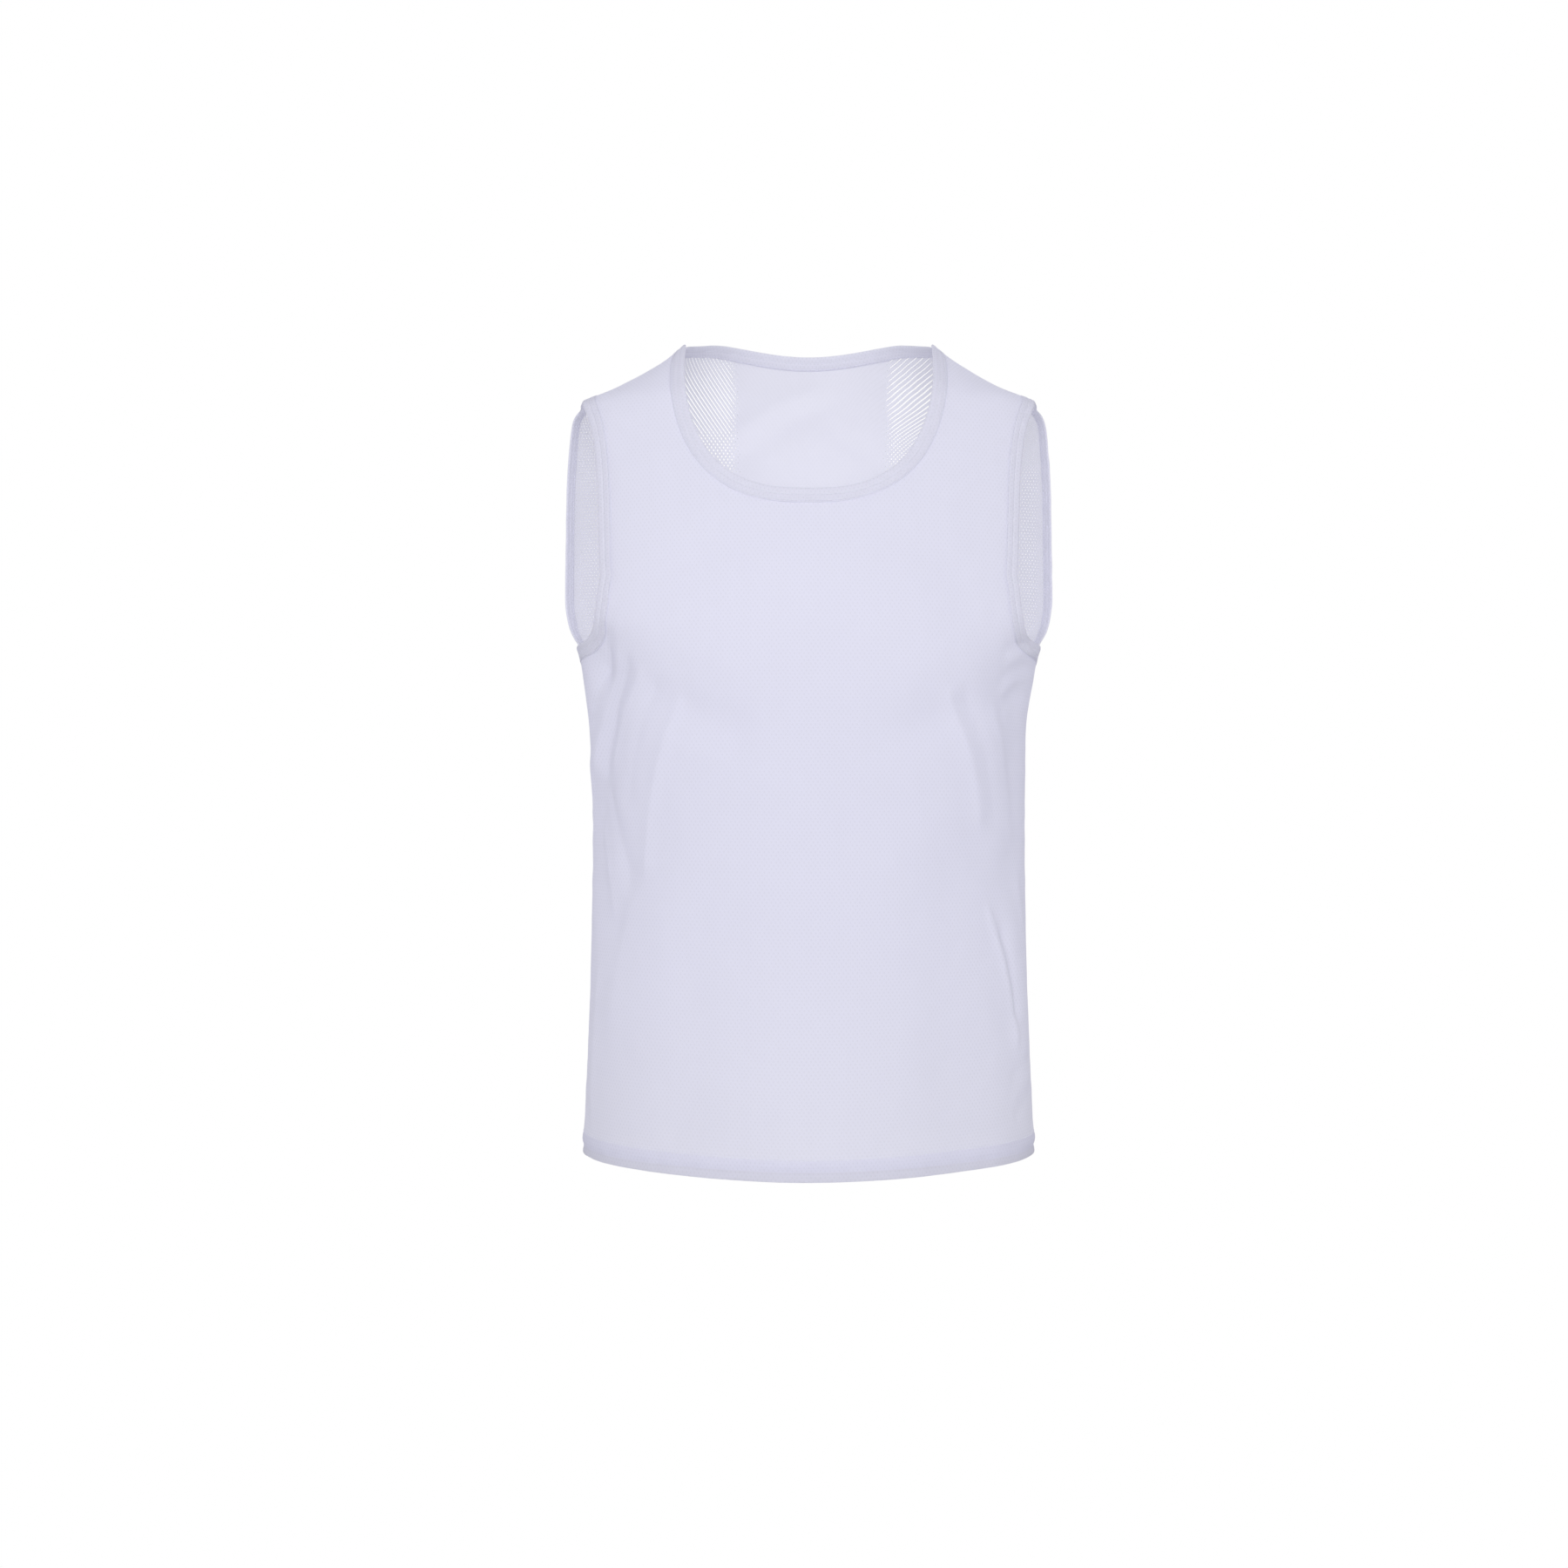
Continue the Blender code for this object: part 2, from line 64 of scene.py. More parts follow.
ARM_TOP = -0.0500
ARM_MIDDLE = -0.2000
ARM_BOTTOM = -0.2525
ARM_TOP_SHAPE = 4.0
ARM_BOTTOM_SHAPE = 3.8

Section = namedtuple("Section", "level z half_width front back power")
SECTIONS = [
    Section("collar", 0.0200, 0.0780, 0.0280, 0.0660, 2.30),
    Section("neck points", 0.0000, 0.1000, 0.0430, 0.0745, 2.30),
    Section("inner shoulder", -0.0137, 0.1165, 0.0520, 0.0800, 2.30),
    Section("mid shoulder", -0.0285, 0.1400, 0.0620, 0.0850, 2.30),
    Section("outer shoulder", -0.0448, 0.1730, 0.0715, 0.0895, 2.30),
    Section("shoulder tip", -0.0510, 0.1905, 0.0745, 0.0915, 2.30),
    Section("shoulder round", -0.0580, 0.1985, 0.0775, 0.0940, 2.30),
    Section("arm root top", -0.0800, 0.2035, 0.0860, 0.1000, 2.30),
    Section("arm root upper", -0.1150, 0.2072, 0.0975, 0.1075, 2.30),
    Section("arm root middle", -0.1600, 0.2092, 0.1100, 0.1130, 2.30),
    Section("arm root lower", -0.2100, 0.2110, 0.1205, 0.1150, 2.30),
    Section("arm root base", -0.2316, 0.2065, 0.1230, 0.1145, 2.30),
    Section("underarm", -0.2525, 0.1908, 0.1240, 0.1130, 2.30),
    Section("chest", -0.2800, 0.1845, 0.1225, 0.1110, 2.28),
    Section("under chest", -0.3200, 0.1787, 0.1190, 0.1085, 2.23),
    Section("waist", -0.4000, 0.1780, 0.1160, 0.1060, 2.12),
    Section("under waist", -0.4800, 0.1788, 0.1165, 0.1065, 2.03),
    Section("hip", -0.5800, 0.1820, 0.1205, 0.1100, 1.93),
    Section("hem", -0.6750, 0.1868, 0.1262, 0.1145, 1.87),
]

ArmReach = namedtuple("ArmReach", "face at_top at_middle")
ARM_REACH = {-1: ArmReach("front", 0.0520, 0.0835), 1: ArmReach("back", 0.0240, 0.0335)}

Division = namedtuple(
    "Division", "neck_columns strap_columns arm_columns body_rows chest_rows strap_rows neck_split arm_split arm_level centre_drop"
)
DIVISION = {
    -1: Division(7, 5, 5, 13, 5, 8, 0.52, 0.70, 0.43, 0.012),
    1: Division(7, 5, 4, 14, 9, 4, 0.30, 0.74, 0.24, 0.010),
}
FINE = 8                  # each cell of the part's panels is this many by this many here

# Folds: soft ridges (+) and troughs (-) along slightly bowed lines. girth is the distance along the cloth from the centre
# line of the face, positive towards the viewer's right. spread widens a fold towards its foot, edge is how crisp it is.
Fold = namedtuple("Fold", "face girth_top z_top girth_foot z_foot bow half_width spread height edge")
FOLDS = [
    # the part's own large folds
    Fold(-1, -0.205, -0.275, -0.222, -0.350, 0.000, 0.0170, 1.0, 0.0032, 0.0),
    Fold(-1, -0.180, -0.300, -0.200, -0.385, 0.000, 0.0180, 1.0, -0.0030, 0.0),
    Fold(-1, -0.140, -0.305, -0.170, -0.430, 0.000, 0.0200, 1.0, 0.0034, 0.0),
    Fold(-1, -0.198, -0.400, -0.178, -0.465, 0.000, 0.0220, 1.0, -0.0028, 0.0),
    Fold(-1, 0.140, -0.300, 0.170, -0.400, 0.000, 0.0200, 1.0, 0.0030, 0.0),
    Fold(-1, 0.195, -0.300, 0.185, -0.420, 0.000, 0.0200, 1.0, -0.0026, 0.0),
    Fold(-1, 0.185, -0.480, 0.200, -0.570, 0.000, 0.0180, 1.0, 0.0030, 0.0),
    Fold(1, 0.150, -0.290, 0.185, -0.400, 0.000, 0.0200, 1.0, 0.0032, 0.0),
    Fold(1, -0.160, -0.280, -0.190, -0.370, 0.000, 0.0200, 1.0, 0.0030, 0.0),
    Fold(1, 0.060, -0.330, 0.030, -0.480, 0.000, 0.0300, 1.0, -0.0035, 0.0),
    Fold(1, -0.050, -0.350, -0.075, -0.520, 0.000, 0.0300, 1.0, -0.0030, 0.0),
    # drag lines from the left underarm
    Fold(-1, -0.162, -0.268, -0.206, -0.345, 0.003, 0.0052, 1.5, 0.0024, 0.6),
    Fold(-1, -0.176, -0.262, -0.218, -0.335, 0.003, 0.0050, 1.5, -0.0018, 0.5),
    Fold(-1, -0.152, -0.272, -0.190, -0.350, 0.003, 0.0055, 1.5, -0.0022, 0.5),
    Fold(-1, -0.141, -0.282, -0.173, -0.345, 0.003, 0.0055, 1.5, 0.0024, 0.6),
    Fold(-1, -0.126, -0.292, -0.152, -0.372, 0.004, 0.0070, 1.4, -0.0019, 0.4),
    Fold(-1, -0.106, -0.304, -0.135, -0.425, 0.005, 0.0058, 1.4, 0.0023, 0.6),
    Fold(-1, -0.170, -0.252, -0.182, -0.272, 0.000, 0.0080, 1.2, -0.0026, 0.2),
    Fold(-1, -0.180, -0.380, -0.155, -0.440, -0.003, 0.0085, 1.3, -0.0026, 0.3),
    Fold(-1, -0.196, -0.402, -0.176, -0.462, -0.003, 0.0055, 1.3, 0.0017, 0.5),
    Fold(-1, -0.214, -0.360, -0.222, -0.430, 0.003, 0.0070, 1.3, -0.0014, 0.4),
    Fold(-1, -0.150, -0.455, -0.172, -0.545, 0.004, 0.0090, 1.3, 0.0014, 0.3),
    Fold(-1, -0.196, -0.520, -0.205, -0.620, 0.003, 0.0070, 1.3, 0.0013, 0.4),
    # the chest's lower edge: the cloth falls away under it, more at the sides than in the middle
    Fold(-1, -0.176, -0.276, -0.066, -0.322, -0.004, 0.0190, 1.0, -0.0052, 0.0),
    Fold(-1, 0.184, -0.290, 0.080, -0.322, 0.004, 0.0190, 1.0, -0.0042, 0.0),
    # and hangs hollow between chest and hip, in front of each side
    Fold(-1, -0.166, -0.335, -0.164, -0.430, 0.000, 0.0360, 1.0, -0.0050, 0.0),
    Fold(-1, 0.168, -0.340, 0.166, -0.440, 0.000, 0.0360, 1.0, -0.0042, 0.0),
    Fold(-1, -0.150, -0.238, -0.060, -0.270, -0.004, 0.0150, 1.0, 0.0014, 0.0),
    Fold(-1, 0.150, -0.252, 0.084, -0.270, 0.004, 0.0150, 1.0, 0.0014, 0.0),
    # crumples at the right underarm
    Fold(-1, 0.214, -0.250, 0.168, -0.256, 0.002, 0.0034, 1.3, -0.0017, 0.6),
    Fold(-1, 0.216, -0.258, 0.172, -0.266, 0.002, 0.0036, 1.3, 0.0018, 0.6),
    Fold(-1, 0.218, -0.267, 0.170, -0.277, 0.002, 0.0040, 1.3, -0.0019, 0.6),
    Fold(-1, 0.219, -0.277, 0.174, -0.289, 0.003, 0.0042, 1.3, 0.0017, 0.6),
    Fold(-1, 0.219, -0.289, 0.172, -0.302, 0.003, 0.0050, 1.3, -0.0015, 0.5),
    Fold(-1, 0.113, -0.298, 0.143, -0.390, -0.004, 0.0062, 1.5, 0.0023, 0.5),
    Fold(-1, 0.130, -0.300, 0.160, -0.385, -0.004, 0.0075, 1.4, -0.0018, 0.4),
    Fold(-1, 0.160, -0.312, 0.184, -0.400, -0.004, 0.0070, 1.4, 0.0014, 0.4),
    # hip folds at the viewer's right
    Fold(-1, 0.157, -0.468, 0.186, -0.566, -0.003, 0.0042, 1.3, 0.0022, 0.7),
    Fold(-1, 0.172, -0.486, 0.186, -0.545, -0.002, 0.0052, 1.2, -0.0024, 0.5),
    Fold(-1, 0.198, -0.450, 0.204, -0.540, -0.002, 0.0070, 1.2, 0.0014, 0.4),
    Fold(-1, 0.212, -0.584, 0.186, -0.596, 0.001, 0.0034, 1.2, -0.0013, 0.6),
    Fold(-1, 0.214, -0.600, 0.188, -0.611, 0.001, 0.0036, 1.2, 0.0015, 0.6),
    Fold(-1, 0.216, -0.615, 0.190, -0.628, 0.001, 0.0034, 1.2, -0.0013, 0.6),
    # quiet waves of the lower front
    Fold(-1, -0.018, -0.380, -0.016, -0.640, 0.004, 0.0300, 1.1, 0.0030, 0.0),
    Fold(-1, 0.116, -0.440, 0.124, -0.640, 0.004, 0.0360, 1.0, -0.0046, 0.0),
    Fold(-1, 0.024, -0.440, 0.028, -0.640, 0.004, 0.0240, 1.1, 0.0014, 0.0),
    Fold(-1, -0.090, -0.470, -0.098, -0.640, 0.004, 0.0240, 1.1, -0.0016, 0.0),
    # chest: a little slack under the neck, and towards the armholes
    Fold(-1, -0.070, -0.180, -0.120, -0.228, 0.010, 0.0180, 1.2, -0.0009, 0.0),
    Fold(-1, 0.066, -0.176, 0.122, -0.230, -0.010, 0.0180, 1.2, -0.0009, 0.0),
    # the back: drag lines from both underarms, soft waves below the blades, slack in the small of the back
    Fold(1, 0.160, -0.266, 0.202, -0.348, -0.004, 0.0054, 1.5, 0.0025, 0.6),
    Fold(1, 0.172, -0.262, 0.214, -0.335, -0.003, 0.0052, 1.5, -0.0018, 0.5),
    Fold(1, 0.148, -0.274, 0.186, -0.356, -0.003, 0.0060, 1.5, -0.0022, 0.5),
    Fold(1, 0.134, -0.284, 0.168, -0.366, -0.004, 0.0058, 1.5, 0.0024, 0.6),
    Fold(1, 0.112, -0.300, 0.140, -0.425, -0.006, 0.0070, 1.4, 0.0022, 0.5),
    Fold(1, 0.122, -0.296, 0.152, -0.400, -0.004, 0.0085, 1.4, -0.0018, 0.4),
    Fold(1, -0.156, -0.264, -0.198, -0.336, 0.004, 0.0054, 1.5, 0.0024, 0.6),
    Fold(1, -0.168, -0.262, -0.210, -0.350, 0.003, 0.0056, 1.5, -0.0020, 0.5),
    Fold(1, -0.142, -0.276, -0.180, -0.372, 0.004, 0.0062, 1.5, -0.0021, 0.5),
    Fold(1, -0.128, -0.286, -0.160, -0.380, 0.005, 0.0060, 1.4, 0.0023, 0.6),
    Fold(1, -0.106, -0.298, -0.128, -0.410, 0.006, 0.0080, 1.4, -0.0018, 0.4),
    Fold(1, -0.092, -0.306, -0.112, -0.430, 0.006, 0.0075, 1.4, 0.0019, 0.5),
    Fold(1, 0.162, -0.335, 0.160, -0.440, 0.000, 0.0360, 1.0, -0.0036, 0.0),
    Fold(1, -0.160, -0.335, -0.162, -0.440, 0.000, 0.0360, 1.0, -0.0038, 0.0),
    Fold(1, 0.072, -0.230, 0.058, -0.330, -0.004, 0.0220, 1.2, 0.0022, 0.1),
    Fold(1, -0.076, -0.225, -0.064, -0.330, 0.004, 0.0220, 1.2, 0.0024, 0.1),
    Fold(1, -0.086, -0.412, 0.060, -0.430, 0.007, 0.0110, 1.0, -0.0019, 0.2),
    Fold(1, -0.058, -0.436, 0.096, -0.446, -0.006, 0.0100, 1.0, 0.0018, 0.2),
    Fold(1, -0.100, -0.462, 0.036, -0.470, 0.005, 0.0110, 1.0, -0.0014, 0.2),
    Fold(1, 0.020, -0.480, 0.010, -0.640, 0.004, 0.0300, 1.2, 0.0026, 0.0),
    Fold(1, 0.118, -0.480, 0.128, -0.640, -0.005, 0.0240, 1.2, -0.0026, 0.1),
    Fold(1, -0.098, -0.490, -0.104, -0.640, 0.005, 0.0250, 1.2, -0.0024, 0.1),
    Fold(1, 0.168, -0.470, 0.190, -0.570, -0.004, 0.0060, 1.3, 0.0019, 0.6),
    Fold(1, 0.180, -0.480, 0.200, -0.560, -0.004, 0.0065, 1.3, -0.0017, 0.5),
    Fold(1, -0.174, -0.450, -0.196, -0.545, 0.004, 0.0065, 1.3, 0.0018, 0.6),
    Fold(1, -0.186, -0.455, -0.208, -0.540, 0.004, 0.0065, 1.3, -0.0016, 0.5),
    Fold(1, 0.000, -0.120, 0.004, -0.250, 0.000, 0.0300, 1.2, -0.0022, 0.0),
    Fold(1, -0.004, -0.026, -0.064, -0.060, 0.004, 0.0080, 1.2, 0.0013, 0.3),
    Fold(1, 0.012, -0.036, -0.052, -0.074, 0.004, 0.0090, 1.2, -0.0012, 0.3),
    Fold(1, 0.030, -0.062, 0.064, -0.090, -0.003, 0.0100, 1.2, -0.0009, 0.2),
    Fold(1, 0.120, -0.110, 0.138, -0.225, -0.004, 0.0140, 1.2, 0.0014, 0.2),
    Fold(1, -0.118, -0.105, -0.136, -0.220, 0.004, 0.0140, 1.2, 0.0013, 0.2),
]

# ---------------------------------------------------------------- the form


def smooth_step(t):
    t = np.clip(t, 0.0, 1.0)
    return t * t * (3 - 2 * t)


def soft_curve(knots, values, at):
    """A curve through the knots that never overshoots between them (monotone cubic)."""
    knots, values = np.asarray(knots, float), np.asarray(values, float)
    step = np.diff(knots)
    slope = np.diff(values) / step
    tangent = np.zeros(len(knots))
    for i in range(1, len(knots) - 1):
        if slope[i - 1] * slope[i] > 0:
            w1, w2 = 2 * step[i] + step[i - 1], step[i] + 2 * step[i - 1]
            tangent[i] = (w1 + w2) / (w1 / slope[i - 1] + w2 / slope[i])
    tangent[0], tangent[-1] = slope[0], slope[-1]
    k = np.clip(np.searchsorted(knots, at) - 1, 0, len(knots) - 2)
    t = (at - knots[k]) / step[k]
    return (
        (1 + 2 * t) * (1 - t) ** 2 * values[k]
        + t * (1 - t) ** 2 * step[k] * tangent[k]
        + t * t * (3 - 2 * t) * values[k + 1]
        + t * t * (t - 1) * step[k] * tangent[k + 1]
    )


LEVELS = np.arange(SECTIONS[-1].z, SECTIONS[0].z, 0.001)


def column(name):
    rising = SECTIONS[::-1]
    value = soft_curve([s.z for s in rising], [getattr(s, name) for s in rising], LEVELS)
    for _ in range(30):
        value[1:-1] = (value[:-2] + 2 * value[1:-1] + value[2:]) / 4
    return value


HALF_WIDTH, POWER, DEPTH = column("half_width"), column("power"), {-1: column("front"), 1: column("back")}


def half_width(z):
    return np.interp(z, LEVELS, HALF_WIDTH)


def depth(z, face):
    return np.interp(z, LEVELS, DEPTH[face])


def power(z):
    return np.interp(z, LEVELS, POWER)


def form(turn, z, face):
    """Points of the form, on the +X side."""
    turn, z = np.broadcast_arrays(np.asarray(turn, float), np.asarray(z, float))
    c, s = np.maximum(np.cos(turn), 0.0), np.maximum(np.sin(turn), 0.0)
    r = (c ** power(z) + s ** power(z)) ** (1 / power(z))
    return np.stack([half_width(z) * c / r, face * depth(z, face) * s / r, z], axis=-1)


def turn_of(x, y, z, face):
    return np.arctan2(np.abs(y) / depth(z, face), np.maximum(x, 0.0) / half_width(z))


def normal(turn, z, face):
    """Outward unit normals of the form."""
    d, e = 2e-3, 2e-3
    low, high = np.maximum(turn - d, 0.0), np.minimum(turn + d, pi / 2)
    across = form(high, z, face) - form(low, z, face)
    up = form(turn, z + e, face) - form(turn, z - e, face)
    n = np.cross(across, up) * face
    on_line = (turn < 1e-2)[..., None]
    n = np.where(on_line, n * [1, 0, 1], n)
    n = np.where((turn > pi / 2 - 1e-6)[..., None], n * [0, 1, 1], n)
    return n / np.linalg.norm(n, axis=-1, keepdims=True)


def nearest(p, turn, z, face):
    """The points of the form nearest to p, looked for from (turn, z)."""
    for _ in range(3):
        low, high = np.maximum(turn - 1e-3, 0.0), np.minimum(turn + 1e-3, pi / 2)
        across = (form(high, z, face) - form(low, z, face)) / (high - low)[..., None]
        up = (form(turn, z + 1e-3, face) - form(turn, z - 1e-3, face)) / 2e-3
        miss = p - form(turn, z, face)
        aa, au, uu = (across**2).sum(-1), (across * up).sum(-1), (up**2).sum(-1)
        ma, mu = (miss * across).sum(-1), (miss * up).sum(-1)
        even = aa * uu - au**2
        turn = np.clip(turn + np.clip((ma * uu - mu * au) / even, -0.2, 0.2), 0.0, pi / 2)
        z = z + np.clip((mu * aa - ma * au) / even, -0.01, 0.01)
    return turn, z


GIRTH_TURNS = np.linspace(0, pi / 2, 181)
GIRTH_LEVELS = np.arange(-0.676, 0.0195, 0.0025)
GIRTHS = {}
for _face in (-1, 1):
    _p = form(GIRTH_TURNS[None], GIRTH_LEVELS[:, None], _face)
    _run = np.linalg.norm(np.diff(_p, axis=1), axis=-1)
    GIRTHS[_face] = np.concatenate([np.cumsum(_run[:, ::-1], axis=1)[:, ::-1], np.zeros((len(GIRTH_LEVELS), 1))], axis=1)


def table_value(table, turn, z):
    """A table over turns and levels, read between its entries."""
    a = np.clip(turn / GIRTH_TURNS[1], 0, len(GIRTH_TURNS) - 1.0001)
    b = np.clip((z - GIRTH_LEVELS[0]) / 0.0025, 0, len(GIRTH_LEVELS) - 1.0001)
    i, j = a.astype(int), b.astype(int)
    u, v = a - i, b - j
    return (
        (1 - v) * ((1 - u) * table[j, i] + u * table[j, i + 1]) + v * ((1 - u) * table[j + 1, i] + u * table[j + 1, i + 1])
    )


def girth(turn, z, face):
    """Distance along a level section from the centre line of the face."""
    return table_value(GIRTHS[face], turn, z)


def climb_table(face):
    """How far up the cloth each (turn, z) is from the hem, along lines of one girth."""
    table = np.zeros_like(GIRTHS[face])
    reach = np.linspace(0, 0.26, 131)
    lines = np.empty((len(GIRTH_LEVELS), len(reach), 3))
    for j, z in enumerate(GIRTH_LEVELS):
        turns = np.interp(reach, GIRTHS[face][j, ::-1], GIRTH_TURNS[::-1])
        lines[j] = form(turns, np.full(len(reach), z), face)
    steps = np.linalg.norm(np.diff(lines, axis=0), axis=-1)
    climb = np.concatenate([np.zeros((1, len(reach))), np.cumsum(steps, axis=0)])
    for j in range(len(GIRTH_LEVELS)):
        table[j] = np.interp(GIRTHS[face][j], reach, climb[j])
    return table


CLIMB = {face: climb_table(face) for face in (-1, 1)}


def noise(u, v, seed, wave):
    """Smooth uneven value from -1 to 1: a few plane waves of about this length."""
    draw = np.random.default_rng(seed)
    total = np.zeros_like(u)
    for _ in range(7):
        a, k, phase = draw.uniform(0, pi), 2 * pi / (wave * draw.uniform(0.7, 1.5)), draw.uniform(0, 2 * pi)
        total += np.sin(k * (np.cos(a) * u + np.sin(a) * v) + phase)
    return total / 4.0


RELIEF = {-1: 1.0, 1: 1.8}   # the back, less filled out, falls in deeper folds


def fold_height(g, z, face):
    """How far the folds lift the cloth off the form at a signed girth and level."""
    height = np.zeros_like(g)
    for f in FOLDS:
        if f.face != face:
            continue
        run = np.array([f.girth_foot - f.girth_top, f.z_foot - f.z_top])
        length = np.sqrt(run @ run)
        along = ((g - f.girth_top) * run[0] + (z - f.z_top) * run[1]) / (run @ run)
        off = ((g - f.girth_top) * run[1] - (z - f.z_top) * run[0]) / length
        t = np.clip(along, 0, 1)
        off = off - f.bow * 4 * t * (1 - t)
        width = f.half_width * (1 + (f.spread - 1) * t)
        past = np.maximum(np.maximum(-along, along - 1), 0) * length
        away = np.abs(off) / width
        soft = np.exp(-(away**2))
        crisp = np.exp(-(away**1.25) * 1.2)
        height += RELIEF[face] * f.height * ((1 - f.edge) * soft + f.edge * crisp) * np.exp(-((past / (1.6 * f.half_width)) ** 2))
    return height


# ---------------------------------------------------------------- edges on the form


def length_along(points):
    return np.concatenate([[0.0], np.cumsum(np.linalg.norm(np.diff(points, axis=0), axis=1))])


class Edge:
    """A cut edge on one face, +X side, as even samples (turn, z), with its parallels at other widths."""

    def __init__(self, turn, z, face, hole_side):
        self.face, self.hole_side, self.widths = face, hole_side, {}
        at = length_along(form(turn, z, face))
        even = np.linspace(0, at[-1], 241)
        self.turn, self.z = np.interp(even, at, turn), np.interp(even, at, z)

    def parallel(self, width):
        width = round(width, 6)
        if width in self.widths:
            return self.widths[width]
        turn, z = self.turn.copy(), self.z.copy()
        steps = max(1, round(width / 0.0015))
        ends = (self.turn[0] < 1e-6, self.turn[-1] < 1e-6)
        for _ in range(steps if width else 0):
            p = form(turn, z, self.face)
            along = np.gradient(p, axis=0)
            along[0] = [0, along[0, 1], 0] if ends[0] else [along[0, 0], 0, 0]
            along[-1] = [0, along[-1, 1], 0] if ends[1] else [along[-1, 0], 0, 0]
            away = np.cross(normal(turn, z, self.face), along) * self.hole_side
            away /= np.linalg.norm(away, axis=1, keepdims=True)
            p = p + away * width / steps
            z = p[:, 2]
            turn = turn_of(p[:, 0], p[:, 1], z, self.face)
            for end, on_line in zip((0, -1), ends):
                turn[end] = 0.0 if on_line else pi / 2
        self.widths[width] = turn, z
        return turn, z

    def at(self, width, share):
        turn, z = self.parallel(width)
        n = np.linspace(0, 1, len(turn))
        return np.interp(share, n, turn), np.interp(share, n, z)

    def shares(self, width, first, last, pieces):
        """Sample positions that divide the parallel evenly between two shares of it, closer where it bends."""
        turn, z = self.parallel(width)
        p = form(turn, z, self.face)
        run = np.gradient(p, axis=0)
        run /= np.linalg.norm(run, axis=1, keepdims=True)
        bend = length_along(run) + length_along(normal(turn, z, self.face))
        at = length_along(p) + BEND_WEIGHT * bend
        return np.interp(np.linspace(first, last, pieces + 1) * at[-1], at, np.linspace(0, 1, len(turn)))


def neck_edge(face):
    """The free edge of the neck, from the shoulder line to the centre."""
    if face < 0:
        a = np.linspace(0, 1, 1501) ** 2.2 * pi / 2
        z = -NECK_DROP_FRONT * np.sin(a) ** (2 / NECK_SHAPE)
        x = NECK_HALF_WIDTH * np.cos(a) ** (2 / NECK_SHAPE)
        share = np.clip(x / half_width(z), 0.0, 1.0)
        turn = np.arctan2((1 - share ** power(z)) ** (1 / power(z)), share)
    else:
        turn = np.linspace(0, pi / 2, 1501)
        z = NECK_RISE_BACK * smooth_step(turn / 0.75) - NECK_DIP_BACK * smooth_step((turn - 0.8) / (pi / 2 - 0.8))
    turn[0], turn[-1] = 0.0, pi / 2
    return Edge(turn, z, face, hole_side=-face)


def arm_edge(face):
    """The free edge of an armhole, from the shoulder line down to the underarm."""
    a = np.concatenate([np.linspace(0, 1, 900) ** 2, 2 - np.linspace(1, 0, 900)[1:] ** 2]) * pi / 2
    upper = a < pi / 2
    shape = np.where(upper, ARM_TOP_SHAPE, ARM_BOTTOM_SHAPE)
    span = np.where(upper, ARM_TOP - ARM_MIDDLE, ARM_BOTTOM - ARM_MIDDLE)
    z = ARM_MIDDLE + span * np.abs(np.cos(a)) ** (2 / shape)
    reach = ARM_REACH[face]
    lean = np.clip((ARM_TOP - z) / (ARM_TOP - ARM_MIDDLE), 0, 1)
    y = (reach.at_top + (reach.at_middle - reach.at_top) * lean) * np.abs(np.sin(a)) ** (2 / shape)
    share = np.clip(y / depth(z, face), 0, 1)
    turn = np.arctan2(share, (1 - share ** power(z)) ** (1 / power(z)))
    turn[0] = turn[-1] = 0.0
    return Edge(turn, z, face, hole_side=face)


NECK = {face: neck_edge(face) for face in (-1, 1)}
ARM = {face: arm_edge(face) for face in (-1, 1)}


def ease(edges, end, reach, passes, drop=0.0):
    """Sewn cloth rounds its corners: draws both faces' edges into one flowing line where they meet on the shoulder line,
    a little lower there where the seam's weight pulls."""
    front, back = edges[-1], edges[1]
    turns = [e.turn if end == 0 else e.turn[::-1] for e in (front, back)]
    levels = [e.z if end == 0 else e.z[::-1] for e in (front, back)]
    p = np.concatenate([form(turns[0][::-1], levels[0][::-1], -1), form(turns[1][1:], levels[1][1:], 1)])
    middle = len(turns[0]) - 1
    at = length_along(p)
    weight = smooth_step((reach - np.abs(at - at[middle])) / (0.5 * reach))[1:-1, None]
    for _ in range(passes):
        p[1:-1] += weight * ((p[:-2] + p[2:]) / 2 - p[1:-1]) * 0.7
        p[middle, 1] = 0.0
    for edge, part, face in ((front, p[middle::-1], -1), (back, p[middle:], 1)):
        z = part[:, 2] - drop * np.exp(-((length_along(part) / (0.35 * reach)) ** 2))
        turn = turn_of(part[:, 0], part[:, 1], z, face)
        turn[0] = 0.0
        edge.turn, edge.z = (turn, z) if end == 0 else (turn[::-1], z[::-1])


ease(ARM, 0, 0.030, 60, 0.0011)
ease(NECK, 0, 0.024, 60, 0.0015)
ease(ARM, 1, 0.060, 400, 0.0044)

# ---------------------------------------------------------------- panels


def coons(bottom, top, left, right):
    """Nodes inside four edges; bottom and top run with i, left and right with j."""
    u = np.linspace(0, 1, len(bottom))[:, None, None]
    v = np.linspace(0, 1, len(left))[None, :, None]
    return (
        (1 - v) * bottom[:, None] + v * top[:, None] + (1 - u) * left[None] + u * right[None]
        - (1 - u) * (1 - v) * bottom[0] - u * (1 - v) * bottom[-1] - (1 - u) * v * top[0] - u * v * top[-1]
    )


